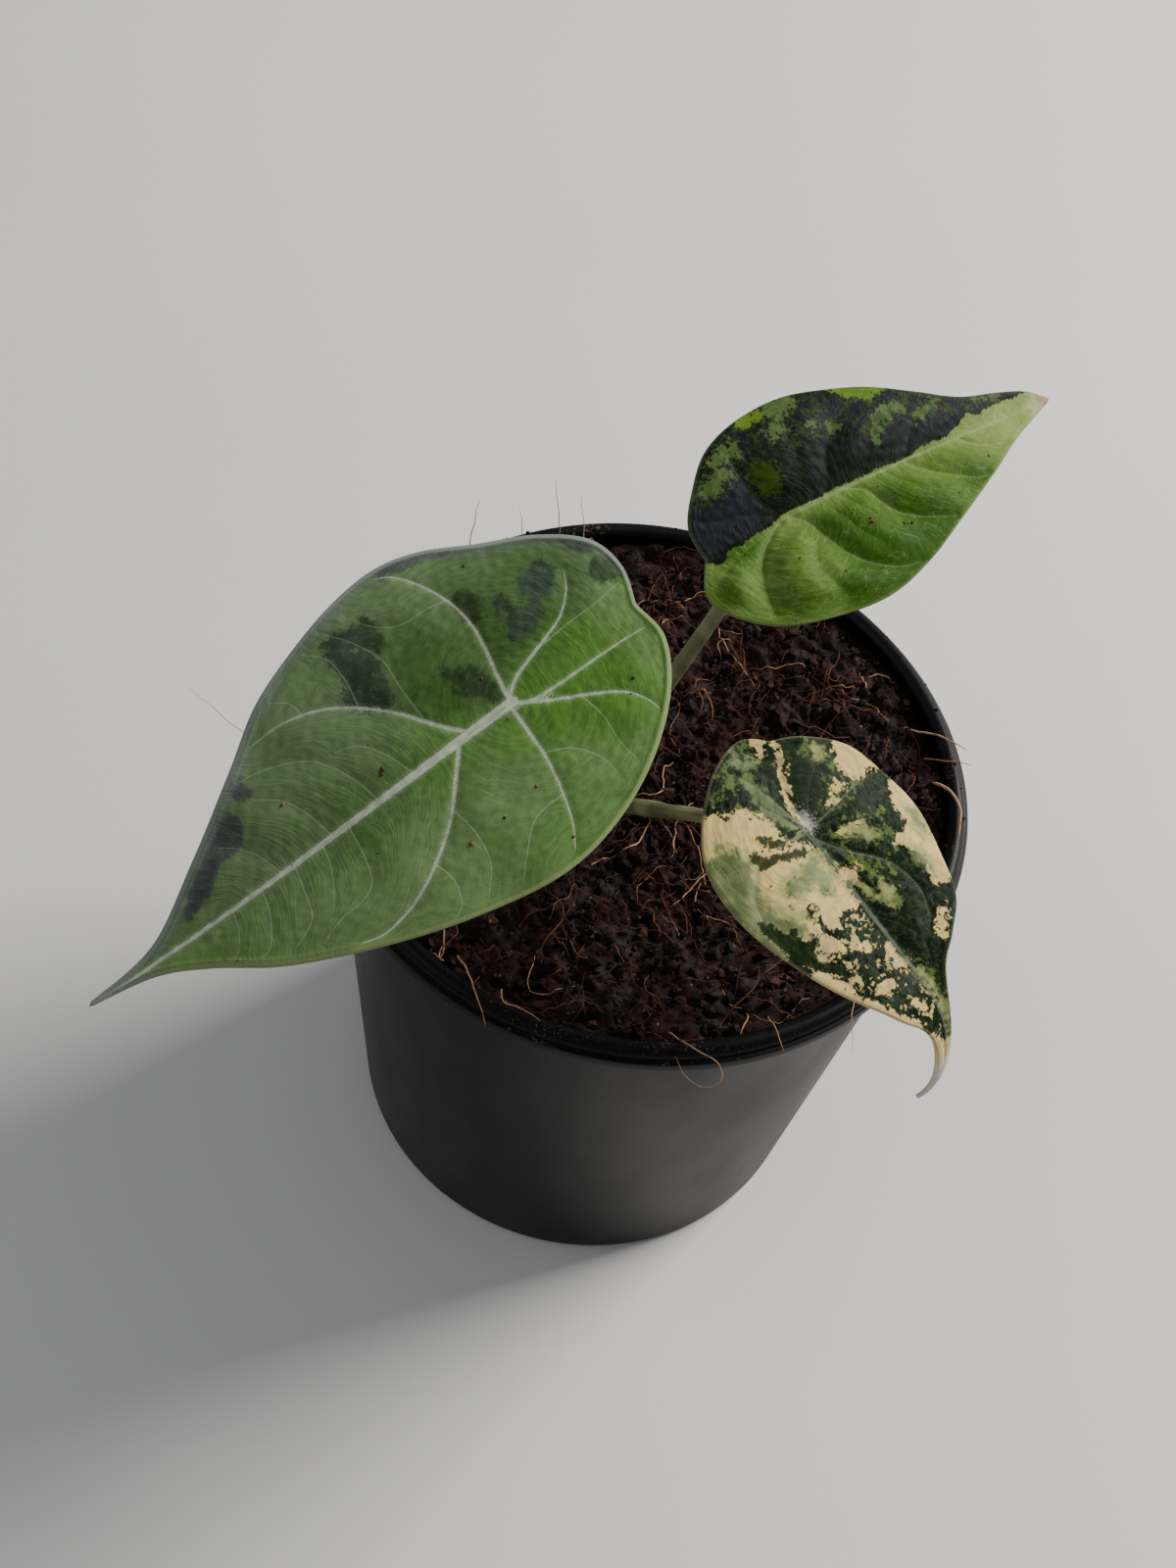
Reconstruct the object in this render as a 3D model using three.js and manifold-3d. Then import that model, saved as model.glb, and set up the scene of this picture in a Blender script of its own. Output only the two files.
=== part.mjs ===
// A young maharani alocasia in its black nursery pot: three heart-shaped leaves on thin stalks
// that rise from one short stem in coco soil. Millimetres, +Z up. The origin is the middle of
// the pot's underside, and -Y is the side that faces the viewer.

import * as THREE from 'three';
import { mergeVertices } from 'three/addons/utils/BufferGeometryUtils.js';
import Module from 'manifold-3d';

// Pot: a thin moulded shell with a round bead on its rim, a thin ledge under it and a short skirt
const POT_HEIGHT = 106;
const SKIRT_RADIUS = 60;
const SKIRT_DROP = 4.5;
const SKIRT_WALL = 1.1;
const BEAD_RADIUS = 59.2;
const BEAD_HEIGHT = 1.8;
const LEDGE_DROP = 2.2;
const LEDGE_ROUND = 0.3;
const TOP_RADIUS = 57.2;
const BASE_RADIUS = 46;
const WALL = 1.3;
const FLOOR = 2.6;
const FOOT_BEVEL = 1.5;
const FOOT_RING_INNER = 38;
const BOSS_RADIUS = 13;
const RECESS_DEPTH = 1.4;
const DRAIN_COUNT = 6;
const DRAIN_RADIUS = 4;
const DRAIN_CIRCLE = 26;
const POT_SEGMENTS = 72;
const BEAD_STEPS = 6;
const DRAIN_SEGMENTS = 16;

// Parts that touch keep this running gap
const GAP = 0.3;

// Soil: coco crumbs filling the pot to just under its rim
const SOIL_DEPTH_BELOW_RIM = 3;
const SOIL_SWELL = 0.7;
const SWELL_X = { rate: 0.11, phase: 1.3 };
const SWELL_Y = { rate: 0.13, phase: -0.4 };
const SOIL_RINGS = 22;
const SOIL_SECTORS = 80;
const CRUMB_COUNT = 170;
const CRUMB_RADIUS = [2.2, 4.6];
const CRUMB_HEIGHT = [0.5, 1.5];
const CRUMB_OUTWARD = [0.3, 0.7];
const CRUMB_TURN = [0, 0.3];
const GOLDEN_ANGLE = Math.PI * (3 - Math.sqrt(5));
const HOLE_SEGMENTS = 24;

// Stem: a short stump left of the pot's axis, with its foot in a plain hole in the soil
const STEM_PLACE = new THREE.Vector2(-11, -10);
const STEM_RADIUS = 4.3;
const STEM_NECK_RADIUS = 3.5;
const STEM_TOP = 8;
const STEM_FOOT = 7;
const STEM_SEGMENTS = 20;

// Leaves. Place: the stalk's joint on the blade, from the pot's axis and up from the soil. Heading
// is the midrib's bearing, dip its fall towards the tip, and bank lifts the blade's left half.
// Bends are [length, turn in degrees] along the midrib from the joint to the tip. Outlines are
// in the flat blade: x along the midrib, y to its left, from the notch round to the tip.
const LARGE = {
  place: [-23.4, -46.3, 76],
  heading: 231.3, dip: 8, bank: -20,
  bends: [[60, 14], [20, 10]],
  backBend: 0.2, fold: 0.32, arch: 60,
  notch: [-25.9, -1], tip: [75.4, -2.3],
  left: [[-25.8, 5.5], [-20.5, 12.6], [-11, 19.3], [0, 23.6], [11.5, 24.5], [25, 21.5],
    [38, 16.6], [50, 10.4], [58.5, 4], [65.5, 0]],
  right: [[-27.4, -6.5], [-25.4, -12.4], [-18.7, -17.8], [-10.5, -21.6], [-2, -26], [7, -27.6],
    [19, -25.5], [30.5, -21.6], [40, -15.7], [51, -9.3], [63.5, -3]],
  stalkRadius: [2.3, 1.6],
  stalkBow: [0.5, 0.5, 4],
};
const UPPER = {
  place: [12.4, 5.5, 70],
  heading: 42.5, dip: -4, bank: 15,
  bends: [[45, 12], [15, 0]],
  backBend: 0.2, fold: 0.32, arch: 40,
  notch: [-14.9, -0.5], tip: [60, 0.4],
  left: [[-14.9, 5], [-11.3, 10], [-5.5, 15.2], [3, 17.9], [13, 17.8], [24, 14.7], [34, 9.8],
    [42, 6.1], [50, 4.4], [56, 2.8]],
  right: [[-18.4, -6], [-16.9, -10.6], [-11.3, -15.6], [-3, -18.3], [8, -19.5], [18, -17.3],
    [28, -13], [38, -8.6], [49, -3.5]],
  stalkRadius: [2, 1.25],
  stalkBow: [1.2, 0, 0],
};
const VARIEGATED = {
  place: [25.8, -34, 42],
  heading: -38.2, dip: 20, bank: 0,
  bends: [[30, -4.5], [12, 54.7], [22, 38.7]],
  backBend: 0.2, fold: 0.25, arch: 40,
  notch: [-14.5, 4.2], tip: [63.8, 0.2],
  left: [[-12, 9.6], [-6.2, 16], [1, 18.6], [8.5, 19.7], [16.5, 17.6], [23.3, 14.8], [27.6, 9.7],
    [31.8, 4.3], [39.5, 1.4], [52, 0.8]],
  right: [[-17.4, 0], [-15.3, -7.8], [-9.8, -14.8], [-3, -18.9], [6, -19.3], [16, -16.8], [25, -13],
    [33, -8], [39.5, -3], [52, -0.5]],
  stalkRadius: [1.9, 1.15],
  stalkBow: [0, 0, 0.5],
};
const BLADE_THICKNESS = 0.8;
const RIB_KEEL = 0.9;
const RIB_KEEL_WIDTH = 1.7;
const RIB_VALLEY = 1.5;
const BLADE_ROWS = 30;
const BLADE_COLUMNS = 7;
const ROW_SWEEP = 1.8;
const STALK_ROOT_HEIGHT = 3.2;
const STALK_BENDS_AT = [0.3, 0.7];
const STALK_SLIMMING = 2.5;
const STALK_SIDES = 12;
const STALK_STEPS = 14;
const STALK_END_STEPS = 3;

const POT_COLOUR = 0x0b0b0d;
const SOIL_COLOUR = 0x24150f;
const STALK_COLOUR = 0x6f7448;
const LARGE_COLOUR = 0x5c8a37;
const UPPER_COLOUR = 0x6f9a32;
const VARIEGATED_COLOUR = 0xc9c28a;

const wasm = await Module();
wasm.setup();

function toManifold(geometry) {
  const bare = geometry.clone();
  bare.deleteAttribute('normal');
  bare.deleteAttribute('uv');
  const merged = mergeVertices(bare, 1e-4);
  const index = merged.index.array;
  const kept = [];
  for (let i = 0; i < index.length; i += 3) {
    const [a, b, c] = [index[i], index[i + 1], index[i + 2]];
    if (a !== b && b !== c && c !== a) kept.push(a, b, c);
  }
  return new wasm.Manifold(new wasm.Mesh({
    numProp: 3,
    vertProperties: new Float32Array(merged.attributes.position.array),
    triVerts: new Uint32Array(kept),
  }));
}

function toGeometry(manifold) {
  const mesh = manifold.getMesh();
  const geometry = new THREE.BufferGeometry();
  geometry.setAttribute('position', new THREE.BufferAttribute(mesh.vertProperties, 3));
  geometry.setIndex(new THREE.BufferAttribute(mesh.triVerts, 1));
  return geometry;
}

function piece(name, geometry, color, roughness) {
  const material = new THREE.MeshStandardMaterial({ color, roughness, metalness: 0 });
  const mesh = new THREE.Mesh(geometry, material);
  mesh.name = name;
  return mesh;
}

function upright(geometry) {
  return geometry.rotateX(Math.PI / 2);
}

// Inner radius of the tapered wall at height z
function innerRadius(z) {
  const rise = (z - FOOT_BEVEL) / (POT_HEIGHT - FOOT_BEVEL);
  return THREE.MathUtils.lerp(BASE_RADIUS, TOP_RADIUS, rise) - WALL;
}

// Pot shell, turned about the axis: underside, wall, groove, skirt, ledge, bead and inside
function potGeometry() {
  const profile = [
    [0, 0], [BOSS_RADIUS, 0], [BOSS_RADIUS + RECESS_DEPTH, RECESS_DEPTH],
    [FOOT_RING_INNER - RECESS_DEPTH, RECESS_DEPTH], [FOOT_RING_INNER, 0],
    [BASE_RADIUS - FOOT_BEVEL, 0], [BASE_RADIUS - FOOT_BEVEL * 0.3, FOOT_BEVEL * 0.3],
    [BASE_RADIUS, FOOT_BEVEL],
  ];
  const grooveTop = POT_HEIGHT - LEDGE_DROP - SKIRT_WALL;
  const skirtFoot = POT_HEIGHT - SKIRT_DROP;
  profile.push([innerRadius(grooveTop) + WALL, grooveTop]);
  profile.push([SKIRT_RADIUS - SKIRT_WALL, grooveTop], [SKIRT_RADIUS - SKIRT_WALL, skirtFoot]);
  profile.push([SKIRT_RADIUS, skirtFoot], [SKIRT_RADIUS, POT_HEIGHT - LEDGE_DROP - LEDGE_ROUND]);
  profile.push([SKIRT_RADIUS - LEDGE_ROUND, POT_HEIGHT - LEDGE_DROP]);
  const beadInner = innerRadius(POT_HEIGHT - BEAD_HEIGHT);
  const beadMiddle = (BEAD_RADIUS + beadInner) / 2;
  const beadHalf = (BEAD_RADIUS - beadInner) / 2;
  for (let i = 0; i <= BEAD_STEPS; i += 1) {
    const turn = (Math.PI * i) / BEAD_STEPS;
    profile.push([
      beadMiddle + beadHalf * Math.cos(turn),
      POT_HEIGHT - BEAD_HEIGHT + BEAD_HEIGHT * Math.sin(turn),
    ]);
  }
  profile.push([innerRadius(FLOOR + 1), FLOOR + 1], [innerRadius(FLOOR) - 1, FLOOR], [0, FLOOR]);
  const points = profile.map(([r, z]) => new THREE.Vector2(r, z));
  const shell = upright(new THREE.LatheGeometry(points, POT_SEGMENTS));
  let pot = toManifold(shell);
  for (let i = 0; i < DRAIN_COUNT; i += 1) {
    const angle = ((i + 0.5) * 2 * Math.PI) / DRAIN_COUNT;
    const drill = upright(
      new THREE.CylinderGeometry(DRAIN_RADIUS, DRAIN_RADIUS, 3 * FLOOR, DRAIN_SEGMENTS));
    drill.translate(DRAIN_CIRCLE * Math.cos(angle), DRAIN_CIRCLE * Math.sin(angle), FLOOR / 2);
    pot = pot.subtract(toManifold(drill));
  }
  return toGeometry(pot);
}

// A value inside the range that jumps about from one whole number n to the next
function vary([low, high], n) {
  const value = Math.sin(n * 12.9898) * 43758.5453;
  return THREE.MathUtils.lerp(low, high, value - Math.floor(value));
}

// Crumbs lie on a sunflower spiral, shifted a little, each a low dome
const SOIL_LEVEL = POT_HEIGHT - SOIL_DEPTH_BELOW_RIM;
const SOIL_RADIUS = innerRadius(SOIL_LEVEL) - GAP;
const crumbs = [];
for (let i = 0; i < CRUMB_COUNT; i += 1) {
  const share = (i + vary(CRUMB_OUTWARD, i)) / CRUMB_COUNT;
  const reach = SOIL_RADIUS * Math.sqrt(share);
  const angle = i * GOLDEN_ANGLE + vary(CRUMB_TURN, i + 500);
  crumbs.push({
    x: reach * Math.cos(angle),
    y: reach * Math.sin(angle),
    radius: vary(CRUMB_RADIUS, i + 900),
    height: vary(CRUMB_HEIGHT, i + 1300),
  });
}

// Height of the soil: slow swells, and over them the tallest crumb at that place
function soilHeight(x, y) {
  const swell = Math.sin(SWELL_X.rate * x + SWELL_X.phase)
    * Math.cos(SWELL_Y.rate * y + SWELL_Y.phase);
  let dome = 0;
  for (const crumb of crumbs) {
    const away = Math.hypot(x - crumb.x, y - crumb.y) / crumb.radius;
    if (away < 1) dome = Math.max(dome, crumb.height * (1 - away * away));
  }
  return SOIL_LEVEL - CRUMB_HEIGHT[0] + SOIL_SWELL * swell + dome;
}

// Soil body: a crumbly top on rings and sectors, a tapered side and a flat bottom on the pot's floor
function soilGeometry() {
  const bottom = FLOOR + GAP;
  const bottomRadius = innerRadius(FLOOR) - 1 - GAP;
  const shoulder = FLOOR + 1 + GAP;
  const positions = [0, 0, soilHeight(0, 0)];
  for (let ring = 1; ring <= SOIL_RINGS; ring += 1) {
    const radius = (SOIL_RADIUS * ring) / SOIL_RINGS;
    for (let k = 0; k < SOIL_SECTORS; k += 1) {
      const angle = (2 * Math.PI * (k + 0.5 * (ring % 2))) / SOIL_SECTORS;
      const x = radius * Math.cos(angle);
      const y = radius * Math.sin(angle);
      const z = ring === SOIL_RINGS ? SOIL_LEVEL - CRUMB_HEIGHT[0] : soilHeight(x, y);
      positions.push(x, y, z);
    }
  }
  for (const [radius, z] of [[innerRadius(shoulder) - GAP, shoulder], [bottomRadius, bottom]]) {
    for (let k = 0; k < SOIL_SECTORS; k += 1) {
      const angle = (2 * Math.PI * (k + 0.5 * (SOIL_RINGS % 2))) / SOIL_SECTORS;
      positions.push(radius * Math.cos(angle), radius * Math.sin(angle), z);
    }
  }
  const rings = SOIL_RINGS + 2;
  const index = [];
  const at = (ring, k) => 1 + (ring - 1) * SOIL_SECTORS + (k % SOIL_SECTORS);
  for (let k = 0; k < SOIL_SECTORS; k += 1) index.push(0, at(1, k), at(1, k + 1));
  for (let ring = 1; ring < rings; ring += 1) {
    const leads = ring < SOIL_RINGS && ring % 2 === 1;
    for (let k = 0; k < SOIL_SECTORS; k += 1) {
      const [a, b] = [at(ring, k), at(ring, k + 1)];
      const [c, d] = [at(ring + 1, k), at(ring + 1, k + 1)];
      if (leads) index.push(a, d, b, a, c, d);
      else index.push(a, c, b, b, c, d);
    }
  }
  const foot = positions.length / 3;
  positions.push(0, 0, bottom);
  for (let k = 0; k < SOIL_SECTORS; k += 1) index.push(foot, at(rings, k + 1), at(rings, k));
  const geometry = new THREE.BufferGeometry();
  geometry.setAttribute('position', new THREE.Float32BufferAttribute(positions, 3));
  geometry.setIndex(index);
  const radius = STEM_RADIUS + GAP;
  const depth = STEM_FOOT + GAP;
  const hole = upright(new THREE.CylinderGeometry(radius, radius, 2 * depth, HOLE_SEGMENTS));
  hole.translate(STEM_PLACE.x, STEM_PLACE.y, SOIL_LEVEL);
  return toGeometry(toManifold(geometry).subtract(toManifold(hole)));
}

// Midrib in the blade's upright plane: arcs joined end to end, and one arc behind the joint
function midrib(leaf, x) {
  if (x < 0) {
    const bend = THREE.MathUtils.degToRad(leaf.backBend);
    return { x: Math.sin(bend * x) / bend, z: (Math.cos(bend * x) - 1) / bend, fall: bend * x };
  }
  const place = { x: 0, z: 0, fall: 0 };
  let left = x;
  leaf.bends.forEach(([length, turn], i) => {
    const last = i === leaf.bends.length - 1;
    const step = last ? left : Math.min(left, length);
    left -= step;
    const bend = THREE.MathUtils.degToRad(turn) / length;
    if (bend === 0) {
      place.x += step * Math.cos(place.fall);
      place.z -= step * Math.sin(place.fall);
    } else {
      const next = place.fall + bend * step;
      place.x += (Math.sin(next) - Math.sin(place.fall)) / bend;
      place.z += (Math.cos(next) - Math.cos(place.fall)) / bend;
      place.fall = next;
    }
  });
  return place;
}

// Rise of the blade beside the midrib: a soft valley there, and an arch down towards the margin
function crossRise(leaf, y) {
  return leaf.fold * (Math.hypot(y, RIB_VALLEY) - RIB_VALLEY) - (y * y) / (2 * leaf.arch);
}

// Point of the blade's upper face over the flat place (x, y)
function bladePoint(leaf, x, y) {
  const rib = midrib(leaf, x);
  const rise = crossRise(leaf, y);
  return new THREE.Vector3(
    rib.x + rise * Math.sin(rib.fall), y, rib.z + rise * Math.cos(rib.fall));
}

function bladeNormal(leaf, x, y) {
  const step = 0.05;
  const along = bladePoint(leaf, x + step, y).sub(bladePoint(leaf, x - step, y));
  const across = bladePoint(leaf, x, y + step).sub(bladePoint(leaf, x, y - step));
  return along.cross(across).normalize();
}

// The midrib's keel fades out over the tail of the blade and behind the joint
function bladeThickness(leaf, x, y) {
  const reach = x < 0 ? x / leaf.notch[0] : x / leaf.tip[0];
  const keel = RIB_KEEL * Math.max(0, 1 - reach * reach);
  const off = (y - axisSide(leaf, x)) / RIB_KEEL_WIDTH;
  return BLADE_THICKNESS + keel * Math.exp(-off * off);
}

// Sideways place of the axis: it leans to the notch behind the joint, and to the tip at the tail
function axisSide(leaf, x) {
  const [end, power] = x < 0 ? [leaf.notch, 2] : [leaf.tip, 4];
  return end[1] * (x / end[0]) ** power;
}

// Flat place on the blade: rows run from the axis (t = 0) out to the margin (t = 1), and u goes
// from the notch to the tip
function flatPlace(leaf, margin, u, t) {
  const x = leaf.notch[0] + (leaf.tip[0] - leaf.notch[0]) * u ** ROW_SWEEP;
  const axis = new THREE.Vector2(x, axisSide(leaf, x));
  return axis.lerp(margin.getPoint(u), t);
}

// Blade: both halves of the upper face, the same triangles on the lower face, and the margin
function bladeGeometry(leaf) {
  const positions = [];
  const index = [];
  for (const side of [leaf.left, leaf.right]) {
    const points = [leaf.notch, ...side, leaf.tip].map(([x, y]) => new THREE.Vector2(x, y));
    const margin = new THREE.SplineCurve(points);
    const first = positions.length / 3;
    for (let i = 0; i <= BLADE_ROWS; i += 1) {
      for (let j = 0; j <= BLADE_COLUMNS; j += 1) {
        const flat = flatPlace(leaf, margin, i / BLADE_ROWS, j / BLADE_COLUMNS);
        const top = bladePoint(leaf, flat.x, flat.y);
        const down = bladeNormal(leaf, flat.x, flat.y)
          .multiplyScalar(-bladeThickness(leaf, flat.x, flat.y));
        positions.push(top.x, top.y, top.z, top.x + down.x, top.y + down.y, top.z + down.z);
      }
    }
    const at = (i, j, lower) => first + 2 * (i * (BLADE_COLUMNS + 1) + j) + lower;
    const add = (a, b, c) => index.push(...(side === leaf.left ? [a, b, c] : [a, c, b]));
    for (let i = 0; i < BLADE_ROWS; i += 1) {
      for (let j = 0; j < BLADE_COLUMNS; j += 1) {
        add(at(i, j, 0), at(i + 1, j, 0), at(i + 1, j + 1, 0));
        add(at(i, j, 0), at(i + 1, j + 1, 0), at(i, j + 1, 0));
        add(at(i, j, 1), at(i + 1, j + 1, 1), at(i + 1, j, 1));
        add(at(i, j, 1), at(i, j + 1, 1), at(i + 1, j + 1, 1));
      }
      const [a, b] = [at(i, BLADE_COLUMNS, 0), at(i + 1, BLADE_COLUMNS, 0)];
      add(a, b, b + 1);
      add(a, b + 1, a + 1);
    }
  }
  const geometry = new THREE.BufferGeometry();
  geometry.setAttribute('position', new THREE.Float32BufferAttribute(positions, 3));
  geometry.setIndex(index);
  return toGeometry(toManifold(geometry));
}

function place(mesh, leaf) {
  mesh.position.set(...leaf.place);
  mesh.rotation.order = 'ZYX';
  mesh.rotation.set(...[leaf.bank, leaf.dip, leaf.heading].map(THREE.MathUtils.degToRad));
  return mesh;
}

// Stalk: a round tube from inside the stem to just under the blade's joint, rounded at its end
function stalkGeometry(leaf) {
  const [rootRadius, endRadius] = leaf.stalkRadius;
  const pose = place(new THREE.Object3D(), leaf);
  pose.updateMatrix();
  const clear = BLADE_THICKNESS + RIB_KEEL + GAP;
  const end = new THREE.Vector3(0, 0, -clear).applyMatrix4(pose.matrix);
  const root = new THREE.Vector3(STEM_PLACE.x, STEM_PLACE.y, STALK_ROOT_HEIGHT);
  const bow = new THREE.Vector3(...leaf.stalkBow);
  const [low, high] = STALK_BENDS_AT.map((share) => root.clone().lerp(end, share));
  const path = new THREE.CubicBezierCurve3(root, low.add(bow), high.addScaledVector(bow, 0.5), end);
  const length = path.getLength();
  const stations = [];
  for (let i = 0; i <= STALK_STEPS; i += 1) {
    const share = (i / STALK_STEPS) * (1 - endRadius / length);
    const slim = 1 - (1 - share) ** STALK_SLIMMING;
    stations.push([share, THREE.MathUtils.lerp(rootRadius, endRadius, slim)]);
  }
  for (let i = 1; i < STALK_END_STEPS; i += 1) {
    const turn = (Math.PI * i) / (2 * STALK_END_STEPS);
    stations.push([1 - (endRadius * (1 - Math.sin(turn))) / length, endRadius * Math.cos(turn)]);
  }
  const positions = [];
  const index = [];
  const sideways = new THREE.Vector3(0, 0, 1).cross(path.getTangent(0.5)).normalize();
  for (const [share, radius] of stations) {
    const centre = path.getPointAt(share);
    const forward = path.getTangentAt(share);
    const right = sideways.clone().addScaledVector(forward, -sideways.dot(forward)).normalize();
    const up = forward.clone().cross(right);
    for (let k = 0; k < STALK_SIDES; k += 1) {
      const angle = (2 * Math.PI * k) / STALK_SIDES;
      const out = right.clone().multiplyScalar(radius * Math.cos(angle));
      out.addScaledVector(up, radius * Math.sin(angle)).add(centre);
      positions.push(out.x, out.y, out.z);
    }
  }
  const at = (i, k) => i * STALK_SIDES + (k % STALK_SIDES);
  for (let i = 0; i < stations.length - 1; i += 1) {
    for (let k = 0; k < STALK_SIDES; k += 1) {
      index.push(at(i, k), at(i, k + 1), at(i + 1, k + 1));
      index.push(at(i, k), at(i + 1, k + 1), at(i + 1, k));
    }
  }
  const near = positions.length / 3;
  positions.push(...path.getPointAt(0).toArray(), ...path.getPointAt(1).toArray());
  const final = stations.length - 1;
  for (let k = 0; k < STALK_SIDES; k += 1) {
    index.push(near, at(0, k + 1), at(0, k));
    index.push(near + 1, at(final, k), at(final, k + 1));
  }
  const geometry = new THREE.BufferGeometry();
  geometry.setAttribute('position', new THREE.Float32BufferAttribute(positions, 3));
  geometry.setIndex(index);
  return geometry;
}

// Stem stump with the three stalks grown out of it
function stemsGeometry() {
  const profile = [
    [0, -STEM_FOOT], [STEM_RADIUS - 1, -STEM_FOOT], [STEM_RADIUS, -STEM_FOOT + 1],
    [STEM_RADIUS, 1], [STEM_NECK_RADIUS, STEM_TOP * 0.5], [STEM_NECK_RADIUS * 0.85, STEM_TOP * 0.85],
    [STEM_NECK_RADIUS * 0.5, STEM_TOP], [0, STEM_TOP + 0.4],
  ].map(([r, z]) => new THREE.Vector2(r, z));
  const stump = upright(new THREE.LatheGeometry(profile, STEM_SEGMENTS));
  stump.translate(STEM_PLACE.x, STEM_PLACE.y, 0);
  let stems = toManifold(stump);
  for (const leaf of [LARGE, UPPER, VARIEGATED]) stems = stems.add(toManifold(stalkGeometry(leaf)));
  return toGeometry(stems);
}

const plant = new THREE.Group();
plant.position.z = SOIL_LEVEL;
plant.add(piece('stems', stemsGeometry(), STALK_COLOUR, 0.6));
plant.add(place(piece('blade_large', bladeGeometry(LARGE), LARGE_COLOUR, 0.5), LARGE));
plant.add(place(piece('blade_upper', bladeGeometry(UPPER), UPPER_COLOUR, 0.4), UPPER));
plant.add(place(
  piece('blade_variegated', bladeGeometry(VARIEGATED), VARIEGATED_COLOUR, 0.5), VARIEGATED));

const pottedPlant = new THREE.Group();
pottedPlant.add(piece('pot', potGeometry(), POT_COLOUR, 0.35));
pottedPlant.add(piece('soil', soilGeometry(), SOIL_COLOUR, 0.95));
pottedPlant.add(plant);

export default pottedPlant;
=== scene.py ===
# Looks of the potted maharani alocasia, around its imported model. Sizes are in millimetres in
# the pot's frame: the origin is the middle of its underside, +Z is up, -Y faces the viewer.
import math
import bmesh
import bpy
import numpy as np
from mathutils import Matrix, Vector


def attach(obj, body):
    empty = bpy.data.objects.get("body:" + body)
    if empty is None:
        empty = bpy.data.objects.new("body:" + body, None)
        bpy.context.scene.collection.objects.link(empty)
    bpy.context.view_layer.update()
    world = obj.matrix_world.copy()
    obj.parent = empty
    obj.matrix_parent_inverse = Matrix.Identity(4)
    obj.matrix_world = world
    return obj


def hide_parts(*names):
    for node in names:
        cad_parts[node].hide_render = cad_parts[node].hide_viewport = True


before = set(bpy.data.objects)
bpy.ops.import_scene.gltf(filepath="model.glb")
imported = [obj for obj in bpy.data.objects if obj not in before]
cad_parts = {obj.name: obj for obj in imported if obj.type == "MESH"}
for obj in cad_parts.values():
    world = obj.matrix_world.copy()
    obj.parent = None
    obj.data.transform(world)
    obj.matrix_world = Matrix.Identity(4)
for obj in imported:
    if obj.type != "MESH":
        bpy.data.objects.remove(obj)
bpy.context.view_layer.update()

scene = bpy.context.scene


# Studio
# A plain pale table under a large soft light from behind on the right, with a weak fill.
# The camera looks steeply down on the plant and leans a little to its left.
EYE = Vector((-9.9, -272.8, 480.6)) / 1000
LOOK_DOWN = math.radians(54.55)
LEAN = math.radians(11.36)
LENS = 58.5
TABLE_HALF = 2600
TABLE_DROP = 0.15
PLANT_MIDDLE = Vector((0, 0, 0.14))


def paint(code):
    """Linear colour of a screen colour given as a hex code."""
    screen = np.array([int(code[i:i + 2], 16) for i in (1, 3, 5)]) / 255
    linear = np.where(screen < 0.04045, screen / 12.92, ((screen + 0.055) / 1.055) ** 2.4)
    return (*linear.tolist(), 1.0)


class Output:
    """An output of a shader node. Sums of it with another output or a number add math nodes."""

    def __init__(self, socket):
        self.socket = socket

    def __add__(self, other):
        return reckon("ADD", self, other)

    def __sub__(self, other):
        return reckon("SUBTRACT", self, other)

    def __rsub__(self, other):
        return reckon("SUBTRACT", other, self)

    def __mul__(self, other):
        return reckon("MULTIPLY", self, other)

    def __abs__(self):
        return reckon("ABSOLUTE", self)

    def beside(self, name):
        """Another output of the same node."""
        return Output(self.socket.node.outputs[name])


def feed(node, feeds):
    """Gives each named input socket a value, a hex code's colour or the output that drives it."""
    for name, given in feeds.items():
        if isinstance(given, Output):
            node.id_data.links.new(given.socket, node.inputs[name])
        else:
            node.inputs[name].default_value = paint(given) if isinstance(given, str) else given


def add_node(tree, kind, feeds, output=0, **settings):
    """Adds one shader node, set and fed, and returns one of its outputs."""
    node = tree.nodes.new("ShaderNode" + kind)
    for name, value in settings.items():
        setattr(node, name, value)
    feed(node, feeds)
    return Output(node.outputs[output])


def wire(kind, feeds, output=0, **settings):
    """Adds one shader node to the tree of the outputs that feed it."""
    tree = next(given.socket.id_data for given in feeds.values() if isinstance(given, Output))
    return add_node(tree, kind, feeds, output, **settings)


def reckon(operation, a, b=0.0):
    """One sum on two numbers, at least one of them an output."""
    return wire("Math", {0: a, 1: b}, operation=operation)


def blend(mask, under, over):
    """Colour that goes from under to over as the mask goes from 0 to 1."""
    return wire("Mix", {0: mask, 6: under, 7: over}, 2, data_type="RGBA")


def noise(place, scale, detail, **more):
    """Cloudy noise of 0 to 1. More gives its Roughness or its Distortion."""
    return wire("TexNoise", {"Vector": place, "Scale": scale, "Detail": detail, **more})


def own_place(shader):
    """The place on the piece, in metres in the pot's frame."""
    return add_node(shader.id_data, "TexCoord", {}, "Object")


def new_finish(name, **constants):
    """A material and its shader, on which the plain values are set."""
    finish = bpy.data.materials.new(name)
    finish.use_nodes = True
    shader = finish.node_tree.nodes["Principled BSDF"]
    feed(shader, {socket.replace("_", " "): value for socket, value in constants.items()})
    return finish, shader


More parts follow.
